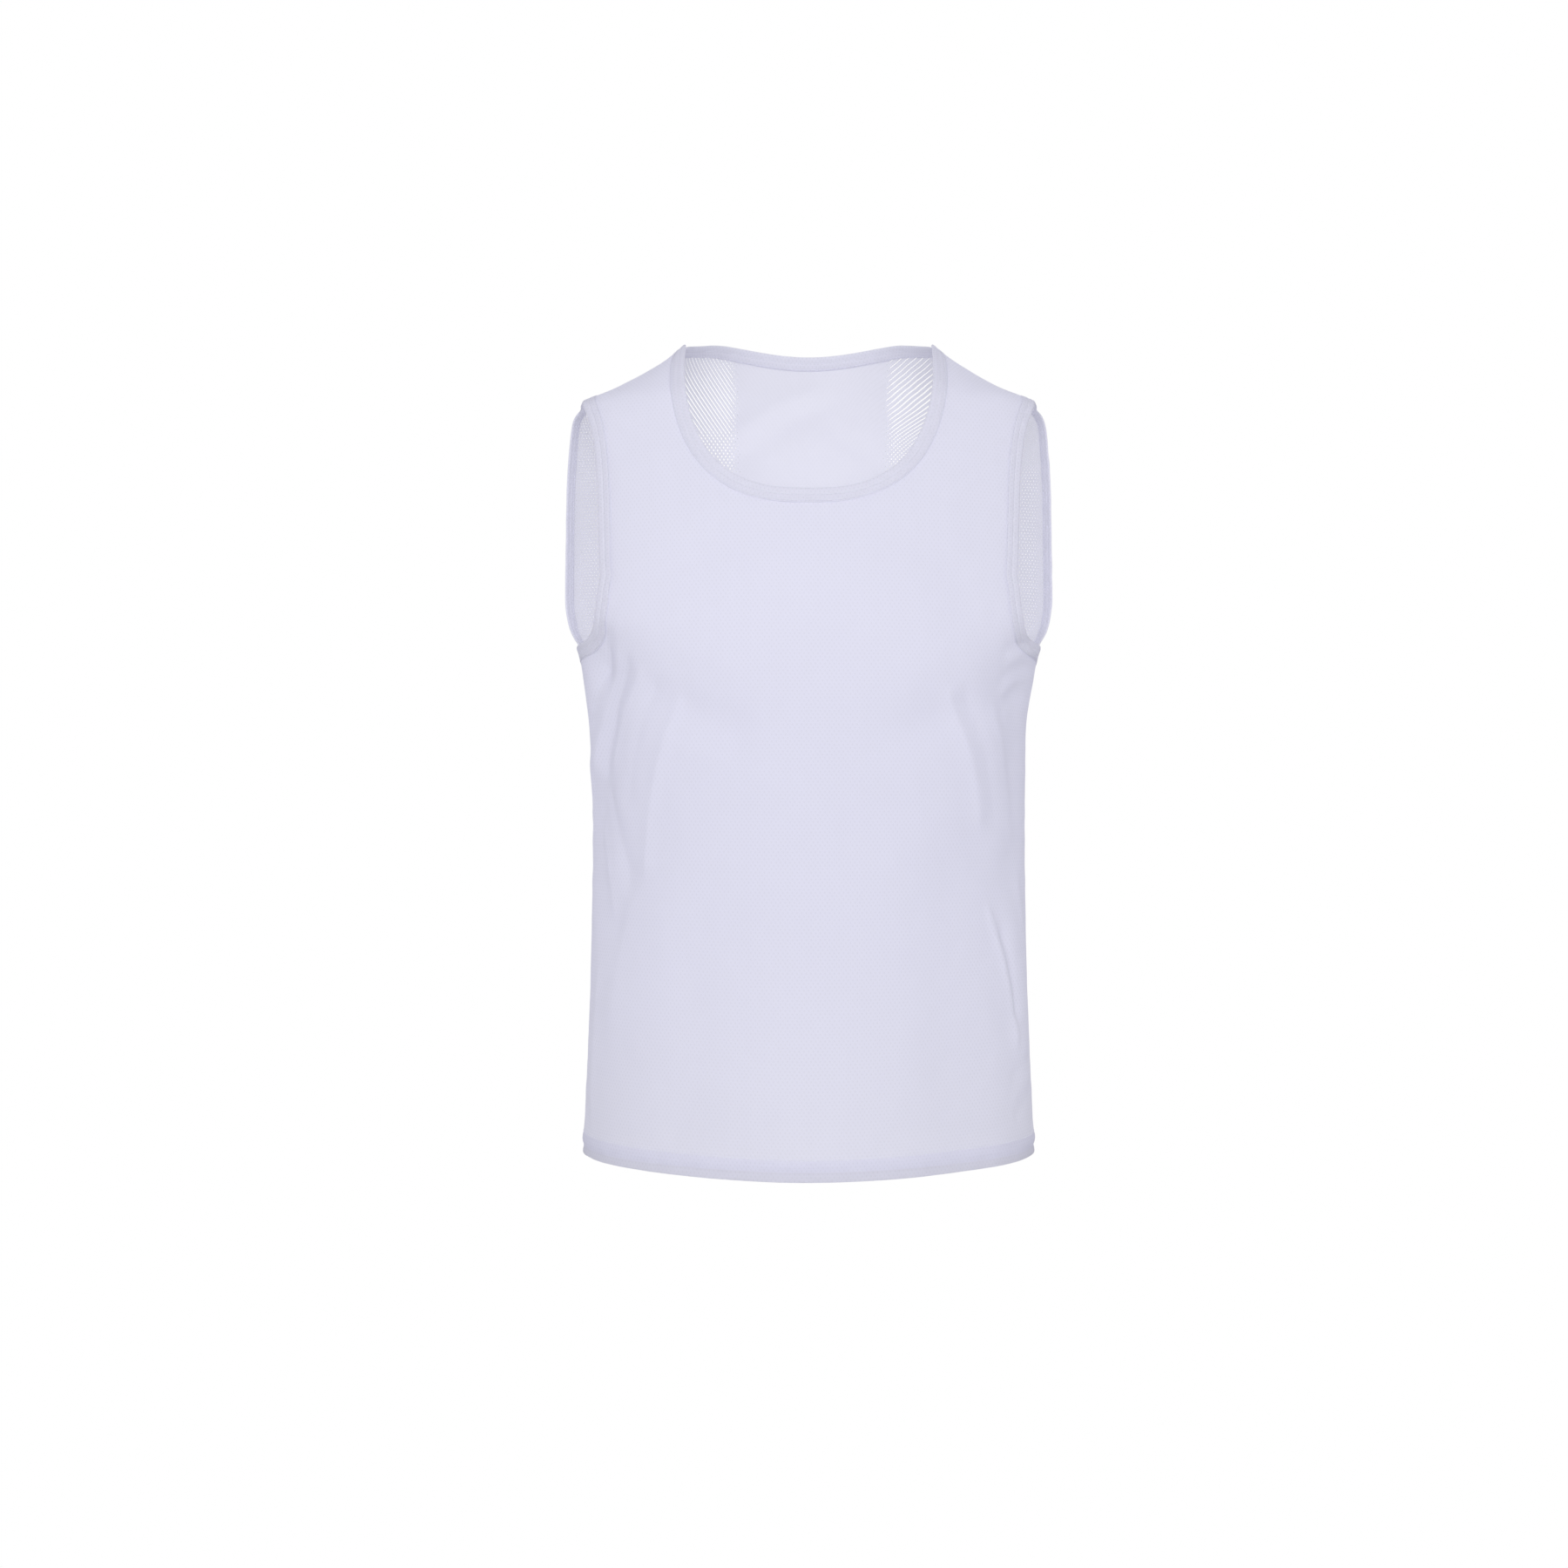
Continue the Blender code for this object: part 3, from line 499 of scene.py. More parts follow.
def half_panel(face):
    """Coarse nodes (turn, z) of a half panel by (column, row), which cells between them are cloth, and the cut edges."""
    d = DIVISION[face]
    neck, arm = NECK[face], ARM[face]
    runs = {
        "neck_side": (neck, neck.shares(TUCK, 0, d.neck_split, d.strap_rows)),
        "neck_under": (neck, neck.shares(TUCK, d.neck_split, 1, d.neck_columns)),
        "arm_strap": (arm, arm.shares(TUCK, 0, d.arm_level, d.strap_rows)),
        "arm_chest": (arm, arm.shares(TUCK, d.arm_level, d.arm_split, d.chest_rows)),
        "arm_under": (arm, arm.shares(TUCK, d.arm_split, 1, d.arm_columns)),
    }
    on = {name: np.stack(edge.at(TUCK, share), axis=-1) for name, (edge, share) in runs.items()}
    i1, i2 = d.neck_columns, d.neck_columns + d.strap_columns
    i3 = i2 + d.arm_columns
    j0 = 1 + d.body_rows
    j1 = j0 + d.chest_rows
    j2 = j1 + d.strap_rows
    node = np.full((i3 + 1, j2 + 1, 2), np.nan)

    hem_turns = np.linspace(pi / 2, 0, 401)
    hem_at = length_along(form(hem_turns, np.full(401, HEM_LEVEL), face))
    foot = np.interp(np.linspace(0, 1, i3 + 1) * hem_at[-1], hem_at, hem_turns)
    foot_z = HEM_LEVEL - HEM_DIP * np.sin(foot) ** 4

    under_neck, armhole = on["neck_under"][::-1], on["arm_under"]
    centre = np.array([pi / 2, armhole[0, 1] - d.centre_drop])
    row0 = centre + (armhole[0] - centre) * np.linspace(0, 1, i2 + 1)[:, None]
    head = np.concatenate([row0, armhole[1:]])
    rise = np.linspace(0, 1, d.body_rows + 1)
    for i in range(i3 + 1):
        z0 = foot_z[i] + HEM_HEIGHT
        node[i, 0] = foot[i], foot_z[i]
        node[i, 1 : j0 + 1, 0] = foot[i] + (head[i, 0] - foot[i]) * smooth_step(rise) ** 1.3
        node[i, 1 : j0 + 1, 1] = z0 + (head[i, 1] - z0) * rise

    split, level = on["neck_under"][0], on["arm_chest"][0]
    row1 = split + (level - split) * np.linspace(0, 1, d.strap_columns + 1)[:, None]
    top = np.concatenate([under_neck, row1[1:]])
    centre_line = np.stack(
        [np.full(d.chest_rows + 1, pi / 2), np.linspace(centre[1], under_neck[0, 1], d.chest_rows + 1)], axis=-1
    )
    node[: i2 + 1, j0 : j1 + 1] = coons(row0, top, centre_line, on["arm_chest"][::-1])

    ends = on["neck_side"][0, 1], on["arm_strap"][0, 1]
    shoulder = np.stack([np.zeros(d.strap_columns + 1), np.linspace(*ends, d.strap_columns + 1)], axis=-1)
    node[i1 : i2 + 1, j1:] = coons(row1, shoulder, on["neck_side"][::-1], on["arm_strap"][::-1])

    cell = np.zeros((i3, j2), bool)
    cell[:, :j0] = cell[:i2, j0:j1] = cell[i1:i2, j1:] = True

    inside = np.zeros((i3 + 1, j2 + 1), bool)
    inside[1:-1, 1:-1] = cell[:-1, :-1] & cell[1:, :-1] & cell[:-1, 1:] & cell[1:, 1:]
    inside[:, :4] = False
    i, j = np.nonzero(inside)
    for _ in range(80):
        p = form(node[..., 0], node[..., 1], face)
        mean = (p[i + 1, j] + p[i - 1, j] + p[i, j + 1] + p[i, j - 1]) / 4
        node[i, j] = np.stack(nearest(mean, node[i, j, 0], node[i, j, 1], face), axis=-1)

    # the true curve of each cell side that lies on a cut edge, by (direction, i, j)
    cut = {}

    def lay(name, places):
        edge, share = runs[name]
        for k, (place, back) in enumerate(places):
            t = np.linspace(share[k], share[k + 1], FINE + 1)
            line = np.stack(edge.at(TUCK, t), axis=-1)
            cut[place] = line[::-1] if back else line

    lay("neck_under", [(("h", i1 - 1 - k, j1), True) for k in range(d.neck_columns)])
    lay("neck_side", [(("v", i1, j2 - 1 - k), True) for k in range(d.strap_rows)])
    lay("arm_strap", [(("v", i2, j2 - 1 - k), True) for k in range(d.strap_rows)])
    lay("arm_chest", [(("v", i2, j1 - 1 - k), True) for k in range(d.chest_rows)])
    lay("arm_under", [(("h", i2 + k, j0), False) for k in range(d.arm_columns)])
    return node, cell, cut


def hermite(p0, p1, t0, t1):
    t = np.linspace(0, 1, FINE + 1)[:, None]
    return (
        (1 + 2 * t) * (1 - t) ** 2 * p0 + t * (1 - t) ** 2 * t0 + t * t * (3 - 2 * t) * p1 + t * t * (t - 1) * t1
    )


def fine_half(face):
    """The half panel's nodes with every cell FINE by FINE, smooth along the grid lines and true along cut edges."""
    node, cell, cut = half_panel(face)
    columns, rows = cell.shape

    def side_there(kind, i, j):
        if kind == "h":
            return 0 <= i < columns and ((j < rows and cell[i, j]) or (j > 0 and cell[i, j - 1]))
        return 0 <= j < rows and ((i < columns and cell[i, j]) or (i > 0 and cell[i - 1, j]))

    def side(kind, i, j):
        if (kind, i, j) in cut:
            return cut[kind, i, j]
        di, dj = (1, 0) if kind == "h" else (0, 1)
        p0, p1 = node[i, j], node[i + di, j + dj]
        step = p1 - p0
        before, after = step, step
        if kind == "h" and i == 0:  # across the centre line the other half mirrors this one
            before = np.array([step[0], 0.0])
        elif side_there(kind, i - di, j - dj) and (kind, i - di, j - dj) not in cut:
            before = (step + p0 - node[i - di, j - dj]) / 2
        if side_there(kind, i + di, j + dj) and (kind, i + di, j + dj) not in cut:
            after = (step + node[i + 2 * di, j + 2 * dj] - p1) / 2
        if kind == "v" and j <= 1:
            if j == 0:
                before = after = step
            else:
                before = step
        return hermite(p0, p1, before, after)

    fine = np.full((columns * FINE + 1, rows * FINE + 1, 2), np.nan)
    for i in range(columns):
        for j in range(rows):
            if cell[i, j]:
                block = coons(side("h", i, j), side("h", i, j + 1), side("v", i, j), side("v", i + 1, j))
                fine[i * FINE : (i + 1) * FINE + 1, j * FINE : (j + 1) * FINE + 1] = block
    fine[..., 0] = np.clip(fine[..., 0], 0.0, pi / 2)
    return fine, cell


SEAM_DIP = 0.0005         # how far the panels sink at shoulder and side seams


def drawn_in(turn, z, face):
    """How far the seams' weight draws in the armhole's foot, the neck point and the shoulder's tip, panel and band alike."""
    beside = np.abs(form(turn, z, face)[..., 1])
    foot = 0.0034 * np.exp(-((beside / 0.016) ** 2) - (((z - ARM_BOTTOM + 0.003) / 0.013) ** 2))
    peak = 0.0022 * np.exp(-((beside / 0.005) ** 2) - (((z - 0.003) / 0.008) ** 2))
    tip = 0.0012 * np.exp(-((beside / 0.022) ** 2)) * smooth_step((-0.030 - z) / 0.019) * smooth_step((z + 0.105) / 0.050)
    return foot + peak + tip


def cloth_height(turn, z, face, side):
    """The cloth's height over the form: folds, the seams' dip, the hem's, and a little unevenness."""
    g = side * girth(turn, z, face)
    climb = table_value(CLIMB[face], turn, z)
    height = fold_height(g, z, face) * smooth_step(turn / 0.22)
    from_seam = girth(np.zeros_like(turn), z, face) - np.abs(g)
    flank = np.where(z < ARM_BOTTOM, from_seam, np.abs(form(turn, z, face)[..., 1]))
    height -= SEAM_DIP * np.exp(-((flank / 0.0022) ** 2))
    pucker = noise(climb, 0.3 * flank, 11 + face, 0.021) * np.exp(-((flank / 0.009) ** 2))
    height += 0.00035 * pucker * smooth_step(flank / 0.004)
    height -= drawn_in(turn, z, face)
    # the hem: a groove along its stitches, the cloth puffing a little above it
    up = climb - HEM_CLIMB
    height -= 0.00080 * np.exp(-((up / 0.0014) ** 2))
    puff = 0.6 + 0.4 * noise(g, 0 * g, 23 + face, 0.06)
    height += 0.0017 * puff * np.exp(-(((up - 0.0058) / 0.0038) ** 2))
    height += 0.00034 * noise(g, 0.2 * climb, 31 + face, 0.016) * np.exp(-((up / 0.008) ** 2))
    height += (0.00050 * noise(g, climb, 41 + face, 0.085) + 0.00022 * noise(g, climb, 53 + face, 0.034)) * smooth_step(turn / 0.3)
    return height, g, climb


HEM_CLIMB = HEM_HEIGHT - 0.0012


def link(name, points, faces, uv=None):
    mesh = bpy.data.meshes.new(name)
    mesh.from_pydata([tuple(p) for p in np.asarray(points).tolist()], [], [tuple(f) for f in faces])
    if uv is not None:
        layer = mesh.uv_layers.new(name="cloth")
        index = np.empty(len(mesh.loops), dtype=np.int32)
        mesh.loops.foreach_get("vertex_index", index)
        layer.uv.foreach_set("vector", np.asarray(uv, dtype=np.float32)[index].ravel())
    mesh.shade_smooth()
    piece = bpy.data.objects.new(name, mesh)
    bpy.context.scene.collection.objects.link(piece)
    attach(piece, "root")
    return piece


def panel(name, face):
    """A panel as one thin shell, its hem turned up inside as a second layer."""
    fine, cell = fine_half(face)
    columns, rows = fine.shape[:2]
    here = np.isfinite(fine[..., 0])
    number = {1: np.full((columns, rows), -1), -1: np.full((columns, rows), -1)}
    points, uvs, count = [], [], 0
    hem_in = {}
    for side in (1, -1):
        take = here.copy()
        if side < 0:
            take[0] = False
        i, j = np.nonzero(take)
        turn, z = fine[i, j, 0], fine[i, j, 1]
        height, g, climb = cloth_height(turn, z, face, side)
        n = normal(turn, z, face) * [side, 1, 1]
        p = form(turn, z, face) * [side, 1, 1] + n * height[:, None]
        number[side][i, j] = count + np.arange(len(i))
        if side < 0:
            number[side][0] = number[1][0]
        count += len(i)
        points.append(p)
        uvs.append(np.stack([g, climb], axis=1))
    points, uvs = np.concatenate(points), np.concatenate(uvs)
    faces = []
    for side in (1, -1):
        n = number[side]
        i, j = np.nonzero(np.kron(cell, np.ones((FINE, FINE), bool)))
        ring = [n[i, j], n[i + 1, j], n[i + 1, j + 1], n[i, j + 1]]
        if side * face > 0:
            ring = ring[::-1]
        faces += list(zip(*(r.tolist() for r in ring)))

    # the turned-up layer: round the fold and up inside
    up_rows = [(-0.00030, 0.15), (-0.00045, 0.5), (-0.00030, 0.85), (0.0012, 1.0), (0.0050, 1.0), (0.0100, 1.0), (0.0142, 1.0), (0.0160, 0.9)]
    hem_points, hem_uv, order = [], [], []
    line = [(-1, i) for i in range(columns - 1, 0, -1)] + [(1, i) for i in range(columns)]
    side_of = np.array([s for s, _ in line])
    col = np.array([i for _, i in line])
    foot_turn = fine[col, 0, 0]
    foot_z = fine[col, 0, 1]
    mirror = np.stack([side_of, np.ones(len(line)), np.ones(len(line))], axis=1)
    for rise, inward in up_rows:
        z = foot_z + max(rise, 0)
        out = np.empty(len(line))
        for side in (1, -1):
            k = side_of == side
            out[k] = cloth_height(foot_turn[k], z[k], face, side)[0]
        n = normal(foot_turn, z, face) * mirror
        p = form(foot_turn, z, face) * mirror + n * (out - PLY * inward)[:, None]
        p[:, 2] += min(rise, 0)
        hem_points.append(p)
        g = side_of * girth(foot_turn, foot_z, face)
        hem_uv.append(np.stack([g, np.full(len(line), -0.001 - max(rise, 0) - 0.0003 * len(hem_uv))], axis=1))
    base = count
    width = len(line)
    first = np.array([number[s][i, 0] for s, i in line])
    rings = [first] + [base + k * width + np.arange(width) for k in range(len(up_rows))]
    for a, b in zip(rings, rings[1:]):
        ring = [a[:-1], b[:-1], b[1:], a[1:]]
        if face > 0:
            ring = ring[::-1]
        faces += list(zip(*(r.tolist() for r in ring)))
    points = np.concatenate([points] + hem_points)
    uvs = np.concatenate([uvs] + hem_uv)
    piece = link(name, points, faces, uvs)
    return piece


# ---------------------------------------------------------------- bands

STITCH_ROWS = (0.0056, 0.0106)   # from a band's folded edge
OUTER, INNER = 0.00048, -0.00095


def band_profile():
    """The band's section: (width from the folded edge, height over the form), out along the top and back inside."""
    def top(w):
        puff = 0.00020 * np.sin(pi * np.clip(w / STITCH_ROWS[0], 0, 1)) + 0.00014 * np.sin(
            pi * np.clip((w - STITCH_ROWS[0]) / (STITCH_ROWS[1] - STITCH_ROWS[0]), 0, 1)
        )
        sink = sum(0.00030 * np.exp(-(((w - row) / 0.00050) ** 2)) for row in STITCH_ROWS)
        return OUTER + puff - sink

    widths = [0.0009, 0.0020, 0.0032, 0.0044, 0.0050, 0.0056, 0.0062, 0.0072, 0.0090, 0.0100, 0.0106, 0.0112, 0.0118]
    outside = [(w, top(w)) for w in widths[::-1]]
    mid, half = (OUTER + INNER) / 2, (OUTER - INNER) / 2
    turn_edge = [(0.0009 - 0.0009 * np.sin(a), mid + half * np.cos(a)) for a in np.linspace(0, pi, 7)[1:-1]]
    inside = [(w, INNER - 0.6 * (top(w) - OUTER)) for w in widths]
    return [(0.0122, 0.00006), (0.0121, OUTER * 0.6)] + outside + turn_edge + inside + [(0.0121, INNER * 0.6), (0.0122, -0.00010)]


def walk_shares(edges, width, spacing):
    """Stations a set distance apart round both faces of one opening: (edge, share)."""
    lengths = {}
    for face in (-1, 1):
        turn, z = edges[face].parallel(width)
        at = length_along(form(turn, z, face))
        pieces = max(4, int(round(at[-1] / spacing)))
        lengths[face] = np.interp(np.linspace(0, at[-1], pieces + 1), at, np.linspace(0, 1, len(turn)))
    return lengths


def neck_walk(width, spacing):
    s = walk_shares(NECK, width, spacing)
    front, back = s[-1], s[1]
    walk = [(-1, v, 1) for v in front[::-1]] + [(1, v, 1) for v in back[1:]]
    walk += [(1, v, -1) for v in back[-2::-1]] + [(-1, v, -1) for v in front[1:-1]]
    return walk


def arm_walk(width, spacing, side):
    s = walk_shares(ARM, width, spacing)
    return [(-1, v, side) for v in s[-1]] + [(1, v, side) for v in s[1][-2:0:-1]]


def on_edge(edges, walk, width):
    """Points, outward normals and cloth heights along a parallel of an opening's edge."""
    points, normals, heights = np.empty((len(walk), 3)), np.empty((len(walk), 3)), np.empty(len(walk))
    faces, shares, sides = (np.array(v) for v in zip(*walk))
    for face in (-1, 1):
        for side in (-1, 1):
            k = np.nonzero((faces == face) & (sides == side))[0]
            if not len(k):
                continue
            turn, z = edges[face].at(width, shares[k].astype(float))
            points[k] = form(turn, z, face) * [side, 1, 1]
            normals[k] = normal(turn, z, face) * [side, 1, 1]
            g = side * girth(turn, z, face)
            heights[k] = fold_height(g, z, face) * smooth_step(turn / 0.22) - drawn_in(turn, z, face)
    return points, normals, heights


def band(name, edges, walk):
    profile = band_profile()
    count = len(walk)
    at = None
    rings, uvs = [], []
    for k, (width, height) in enumerate(profile):
        p, n, lift = on_edge(edges, walk, width)
        if at is None:
            at = length_along(np.concatenate([p, p[:1]]))
        wave = noise(at[:-1], 0 * at[:-1] + 0.4 * width, len(name), 0.017)
        fade = np.clip(at[:-1] / 0.02, 0, 1) * np.clip((at[-1] - at[:-1]) / 0.02, 0, 1)
        wobble = 0.00013 * wave * smooth_step(fade)
        rings.append(p + n * (lift + height + wobble)[:, None])
        uvs.append(np.stack([at[:-1], np.full(count, 0.04 + sum(np.hypot(profile[m + 1][0] - profile[m][0], profile[m + 1][1] - profile[m][1]) for m in range(k)))], axis=1))
    points, uv = np.concatenate(rings), np.concatenate(uvs)
    faces = []
    for k in range(len(profile) - 1):
        a, b = k * count, (k + 1) * count
        for i in range(count):
            j = (i + 1) % count
            faces.append((a + i, a + j, b + j, b + i))
    q = points[list(faces[6 * count])]
    outward = on_edge(edges, walk[:1], profile[6][0])[1][0]
    if np.cross(q[1] - q[0], q[2] - q[0]) @ outward < 0:
        faces = [face[::-1] for face in faces]
    return link(name, points, faces, uv)


# ---------------------------------------------------------------- stitches


def stitch_mesh(starts, ends, normals, radius, arch):
    """Small rounded threads between pairs of points, each arched a little over the cloth, as one mesh."""
    stations = [(0.0, 0.25), (0.10, 0.8), (0.35, 1.0), (0.65, 1.0), (0.90, 0.8), (1.0, 0.25)]
    around = 6
    angles = np.arange(around) * 2 * pi / around
    run = ends - starts
    length = np.linalg.norm(run, axis=1, keepdims=True)
    along = run / length
    up = normals - along * (normals * along).sum(1, keepdims=True)
    up /= np.linalg.norm(up, axis=1, keepdims=True)
    over = np.cross(along, up)
    points = []
    for t, fat in stations:
        middle = starts + run * t + up * (arch * np.sin(pi * t))
        for a in angles:
            points.append(middle + radius * fat * (np.cos(a) * over + 0.8 * np.sin(a) * up))
    points = np.stack(points, axis=1)  # stitch, ring point, xyz
    per = points.shape[1]
    pattern = []
    for s in range(len(stations) - 1):
        for a in range(around):
            b = (a + 1) % around
            pattern.append((s * around + a, s * around + b, (s + 1) * around + b, (s + 1) * around + a))
    caps = [tuple(range(around))[::-1], tuple((len(stations) - 1) * around + a for a in range(around))]
    faces = []
    for k in range(len(points)):
        o = k * per
        faces += [tuple(o + v for v in f) for f in pattern]
        faces += [tuple(o + v for v in f) for f in caps]
    return points.reshape(-1, 3), faces


def stitch_line(line, normals, lift, pitch, gap, closed):
    """Starts, ends and normals of stitches of one pitch along a line of points."""
    if closed:
        line, normals = np.concatenate([line, line[:1]]), np.concatenate([normals, normals[:1]])
    line = line + normals * lift
    at = length_along(line)
    count = int(round(at[-1] / pitch))
    pitch = at[-1] / count
    a = np.arange(count) * pitch + gap / 2
    b = a + pitch - gap
    pick = lambda s, v: np.stack([np.interp(s, at, v[:, k]) for k in range(3)], axis=1)
    return pick(a, line), pick(b, line), pick((a + b) / 2, normals)


def stitches(name, runs, radius=0.00026, arch=0.00012):
    starts, ends, normals = (np.concatenate(v) for v in zip(*runs))
    points, faces = stitch_mesh(starts, ends, normals, radius, arch)
    piece = link(name, points, faces)
    return piece


def band_stitches(name, edges, walk):
    runs = []
    for row in STITCH_ROWS:
        p, n, lift = on_edge(edges, walk, row)
        base = p + n * lift[:, None]
        runs.append(stitch_line(base, n, OUTER - 0.00012, 0.0028, 0.0006, True))
        runs.append(stitch_line(base, -n, -INNER - 0.00022, 0.0028, 0.0006, True))
    return stitches(name, runs)


def hem_line(rise, lift):
    """The cloth's points and normals round the whole hem at one height over its foot, lifted."""
    points, normals = [], []
    for face, side in ((-1, 1), (1, 1), (1, -1), (-1, -1)):
        turn = np.linspace(pi / 2, 0, 220)
        z = HEM_LEVEL - HEM_DIP * np.sin(turn) ** 4 + rise
        height, _, _ = cloth_height(turn, z, face, side)
        n = normal(turn, z, face) * [side, 1, 1]
        p = form(turn, z, face) * [side, 1, 1] + n * (height + lift)[:, None]
        if face * side > 0:
            p, n = p[::-1], n[::-1]
        points.append(p[:-1])
        normals.append(n[:-1])
    return np.concatenate(points), np.concatenate(normals)


# ---------------------------------------------------------------- materials


def nodes_of(name):
    material = bpy.data.materials.new(name)
    material.use_nodes = True
    tree = material.node_tree
    shader = tree.nodes["Principled BSDF"]
    return material, tree, shader


def math_node(tree, operation, *inputs, clamp=False):
    n = tree.nodes.new("ShaderNodeMath")
    n.operation, n.use_clamp = operation, clamp
    for socket, value in zip(n.inputs, inputs):
        if hasattr(value, "links"):
            tree.links.new(value, socket)
        else:
            socket.default_value = value
    return n.outputs[0]


def mix_colour(tree, factor, a, b):
    n = tree.nodes.new("ShaderNodeMix")
    n.data_type = "RGBA"
    for socket, value in ((n.inputs[0], factor), (n.inputs[6], a), (n.inputs[7], b)):
        if hasattr(value, "links"):
            tree.links.new(value, socket)
        elif isinstance(value, tuple):
            socket.default_value = (*value, 1.0)
        else:
            socket.default_value = value
    return n.outputs[2]


MESH_WIDTH, MESH_ROW = 0.00355, 0.00258     # hole spacing across, and from one row to the next
CLOTH_COLOUR = (0.855, 0.854, 0.953)
# painted shade: the hem, where the cloth lies doubled, is painted darker than the rest
HEM_SHADE_COLOUR = (0.812, 0.810, 0.886)
BAND_COLOUR = (0.869, 0.868, 0.940)
THROUGH = 0.50            # how much of its light a layer of the panels lets through rather than sending back
BAND_THROUGH = 0.50       # the same for a layer of the bands, pressed closer


def lattice(tree, u, v, pull=0.0):
    """How far inside a mesh hole a point of the cloth is: 1 in the middle, less on the yarns. Rows are staggered. Where
    the knit is pulled askew the holes run into slits along one diagonal or the other: pull from -1 to 1."""
    across = math_node(tree, "MULTIPLY", u, 2 * pi / MESH_WIDTH)
    up = math_node(tree, "MULTIPLY", v, pi / MESH_ROW)
    falling = math_node(tree, "COSINE", math_node(tree, "ADD", across, up))
    rising = math_node(tree, "COSINE", math_node(tree, "SUBTRACT", across, up))
    a = math_node(tree, "MULTIPLY", falling, math_node(tree, "ADD", 0.5, math_node(tree, "MULTIPLY", pull, 0.5)))
    b = math_node(tree, "MULTIPLY", rising, math_node(tree, "SUBTRACT", 0.5, math_node(tree, "MULTIPLY", pull, 0.5)))
    return math_node(tree, "ADD", a, b)


def ramp(tree, value, low, high, to_low=0.0, to_high=1.0):
    n = tree.nodes.new("ShaderNodeMapRange")
    n.interpolation_type = "SMOOTHSTEP"
    n.inputs["From Min"].default_value, n.inputs["From Max"].default_value = low, high
    n.inputs["To Min"].default_value, n.inputs["To Max"].default_value = to_low, to_high
    tree.links.new(value, n.inputs["Value"])
    return n.outputs[0]


def cloth_material(name, colour, hole, most_open, hole_shade_strength, closed_back):
    """Mesh knit: a staggered lattice of small holes between rounded yarns, matte, letting some light through."""
    material, tree, shader = nodes_of(name)
    link_ = tree.links.new
    uv = tree.nodes.new("ShaderNodeUVMap")
    uv.uv_map = "cloth"
    split = tree.nodes.new("ShaderNodeSeparateXYZ")
    link_(uv.outputs[0], split.inputs[0])
    u, v = split.outputs[0], split.outputs[1]
    # yarns wander a little
    wander = tree.nodes.new("ShaderNodeTexNoise")
    wander.inputs["Scale"].default_value = 60.0
    wander.inputs["Detail"].default_value = 2.0
    link_(uv.outputs[0], wander.inputs["Vector"])
    shift = math_node(tree, "MULTIPLY", math_node(tree, "SUBTRACT", wander.outputs[0], 0.5), 0.0009)
    u1, v1 = math_node(tree, "ADD", u, shift), math_node(tree, "SUBTRACT", v, shift)
    pull = 0.0
    if closed_back:
        # beside the neck the back's knit is pulled askew, one way on each side, and droops towards the viewer's right
        near_neck = ramp(tree, v, 0.585, 0.645)
        pull = math_node(tree, "MULTIPLY", ramp(tree, u, -0.075, 0.075, 0.85, -0.85), near_neck)
        droop = math_node(tree, "MULTIPLY", math_node(tree, "MULTIPLY", math_node(tree, "SUBTRACT", u1, 0.05), 0.62), ramp(tree, u, 0.02, 0.07))
        v1 = math_node(tree, "ADD", v1, math_node(tree, "MULTIPLY", droop, near_neck))
    product = lattice(tree, u1, v1, pull)
    fine = tree.nodes.new("ShaderNodeTexNoise")
    fine.inputs["Scale"].default_value = 2600.0
    fine.inputs["Detail"].default_value = 3.0
    link_(uv.outputs[0], fine.inputs["Vector"])
    level = math_node(tree, "ADD", product, math_node(tree, "MULTIPLY", math_node(tree, "SUBTRACT", fine.outputs[0], 0.5), 0.18))
    if closed_back:
        # the middle of the upper back is knitted close, between soft uneven edges, with no holes
        ragged = tree.nodes.new("ShaderNodeTexNoise")
        ragged.inputs["Scale"].default_value = 240.0
        ragged.inputs["Detail"].default_value = 3.0
        link_(uv.outputs[0], ragged.inputs["Vector"])
        rag = math_node(tree, "MULTIPLY", math_node(tree, "SUBTRACT", ragged.outputs[0], 0.5), 0.012)
        reach = math_node(tree, "ADD", math_node(tree, "ABSOLUTE", math_node(tree, "SUBTRACT", u, CLOSED_MIDDLE)), rag)
        edge = tree.nodes.new("ShaderNodeMapRange")
        edge.inputs["From Min"].default_value, edge.inputs["From Max"].default_value = CLOSED_HALF - 0.007, CLOSED_HALF + 0.005
        link_(reach, edge.inputs["Value"])
        foot = tree.nodes.new("ShaderNodeMapRange")
        foot.inputs["From Min"].default_value, foot.inputs["From Max"].default_value = CLOSED_FOOT, CLOSED_FOOT - 0.006
        link_(math_node(tree, "ADD", v, rag), foot.inputs["Value"])
        keep = math_node(tree, "MAXIMUM", edge.outputs[0], foot.outputs[0])
        # beside the neck the holes are stretched wide open; further out and down they close up as on the front
        drawn = ramp(tree, math_node(tree, "ABSOLUTE", u), 0.105, 0.150, 1.0, 0.22)
        drawn = math_node(tree, "MULTIPLY", drawn, ramp(tree, v, 0.530, 0.600, 0.0, 1.0))
        # by the armholes' edges a little of it opens again
        aside = math_node(tree, "ABSOLUTE", u)
        by_arm = math_node(tree, "MULTIPLY", ramp(tree, aside, 0.150, 0.190, 0.0, 0.58), ramp(tree, aside, 0.204, 0.224, 1.0, 0.55))
        by_arm = math_node(tree, "MULTIPLY", by_arm, ramp(tree, v, 0.400, 0.440))
        drawn = math_node(tree, "MAXIMUM", math_node(tree, "MAXIMUM", drawn, by_arm), 0.22)
        # a little more open low down than up at the neck's band
        drawn = math_node(tree, "MULTIPLY", drawn, ramp(tree, v, 0.650, 0.690, 1.0, 0.55))
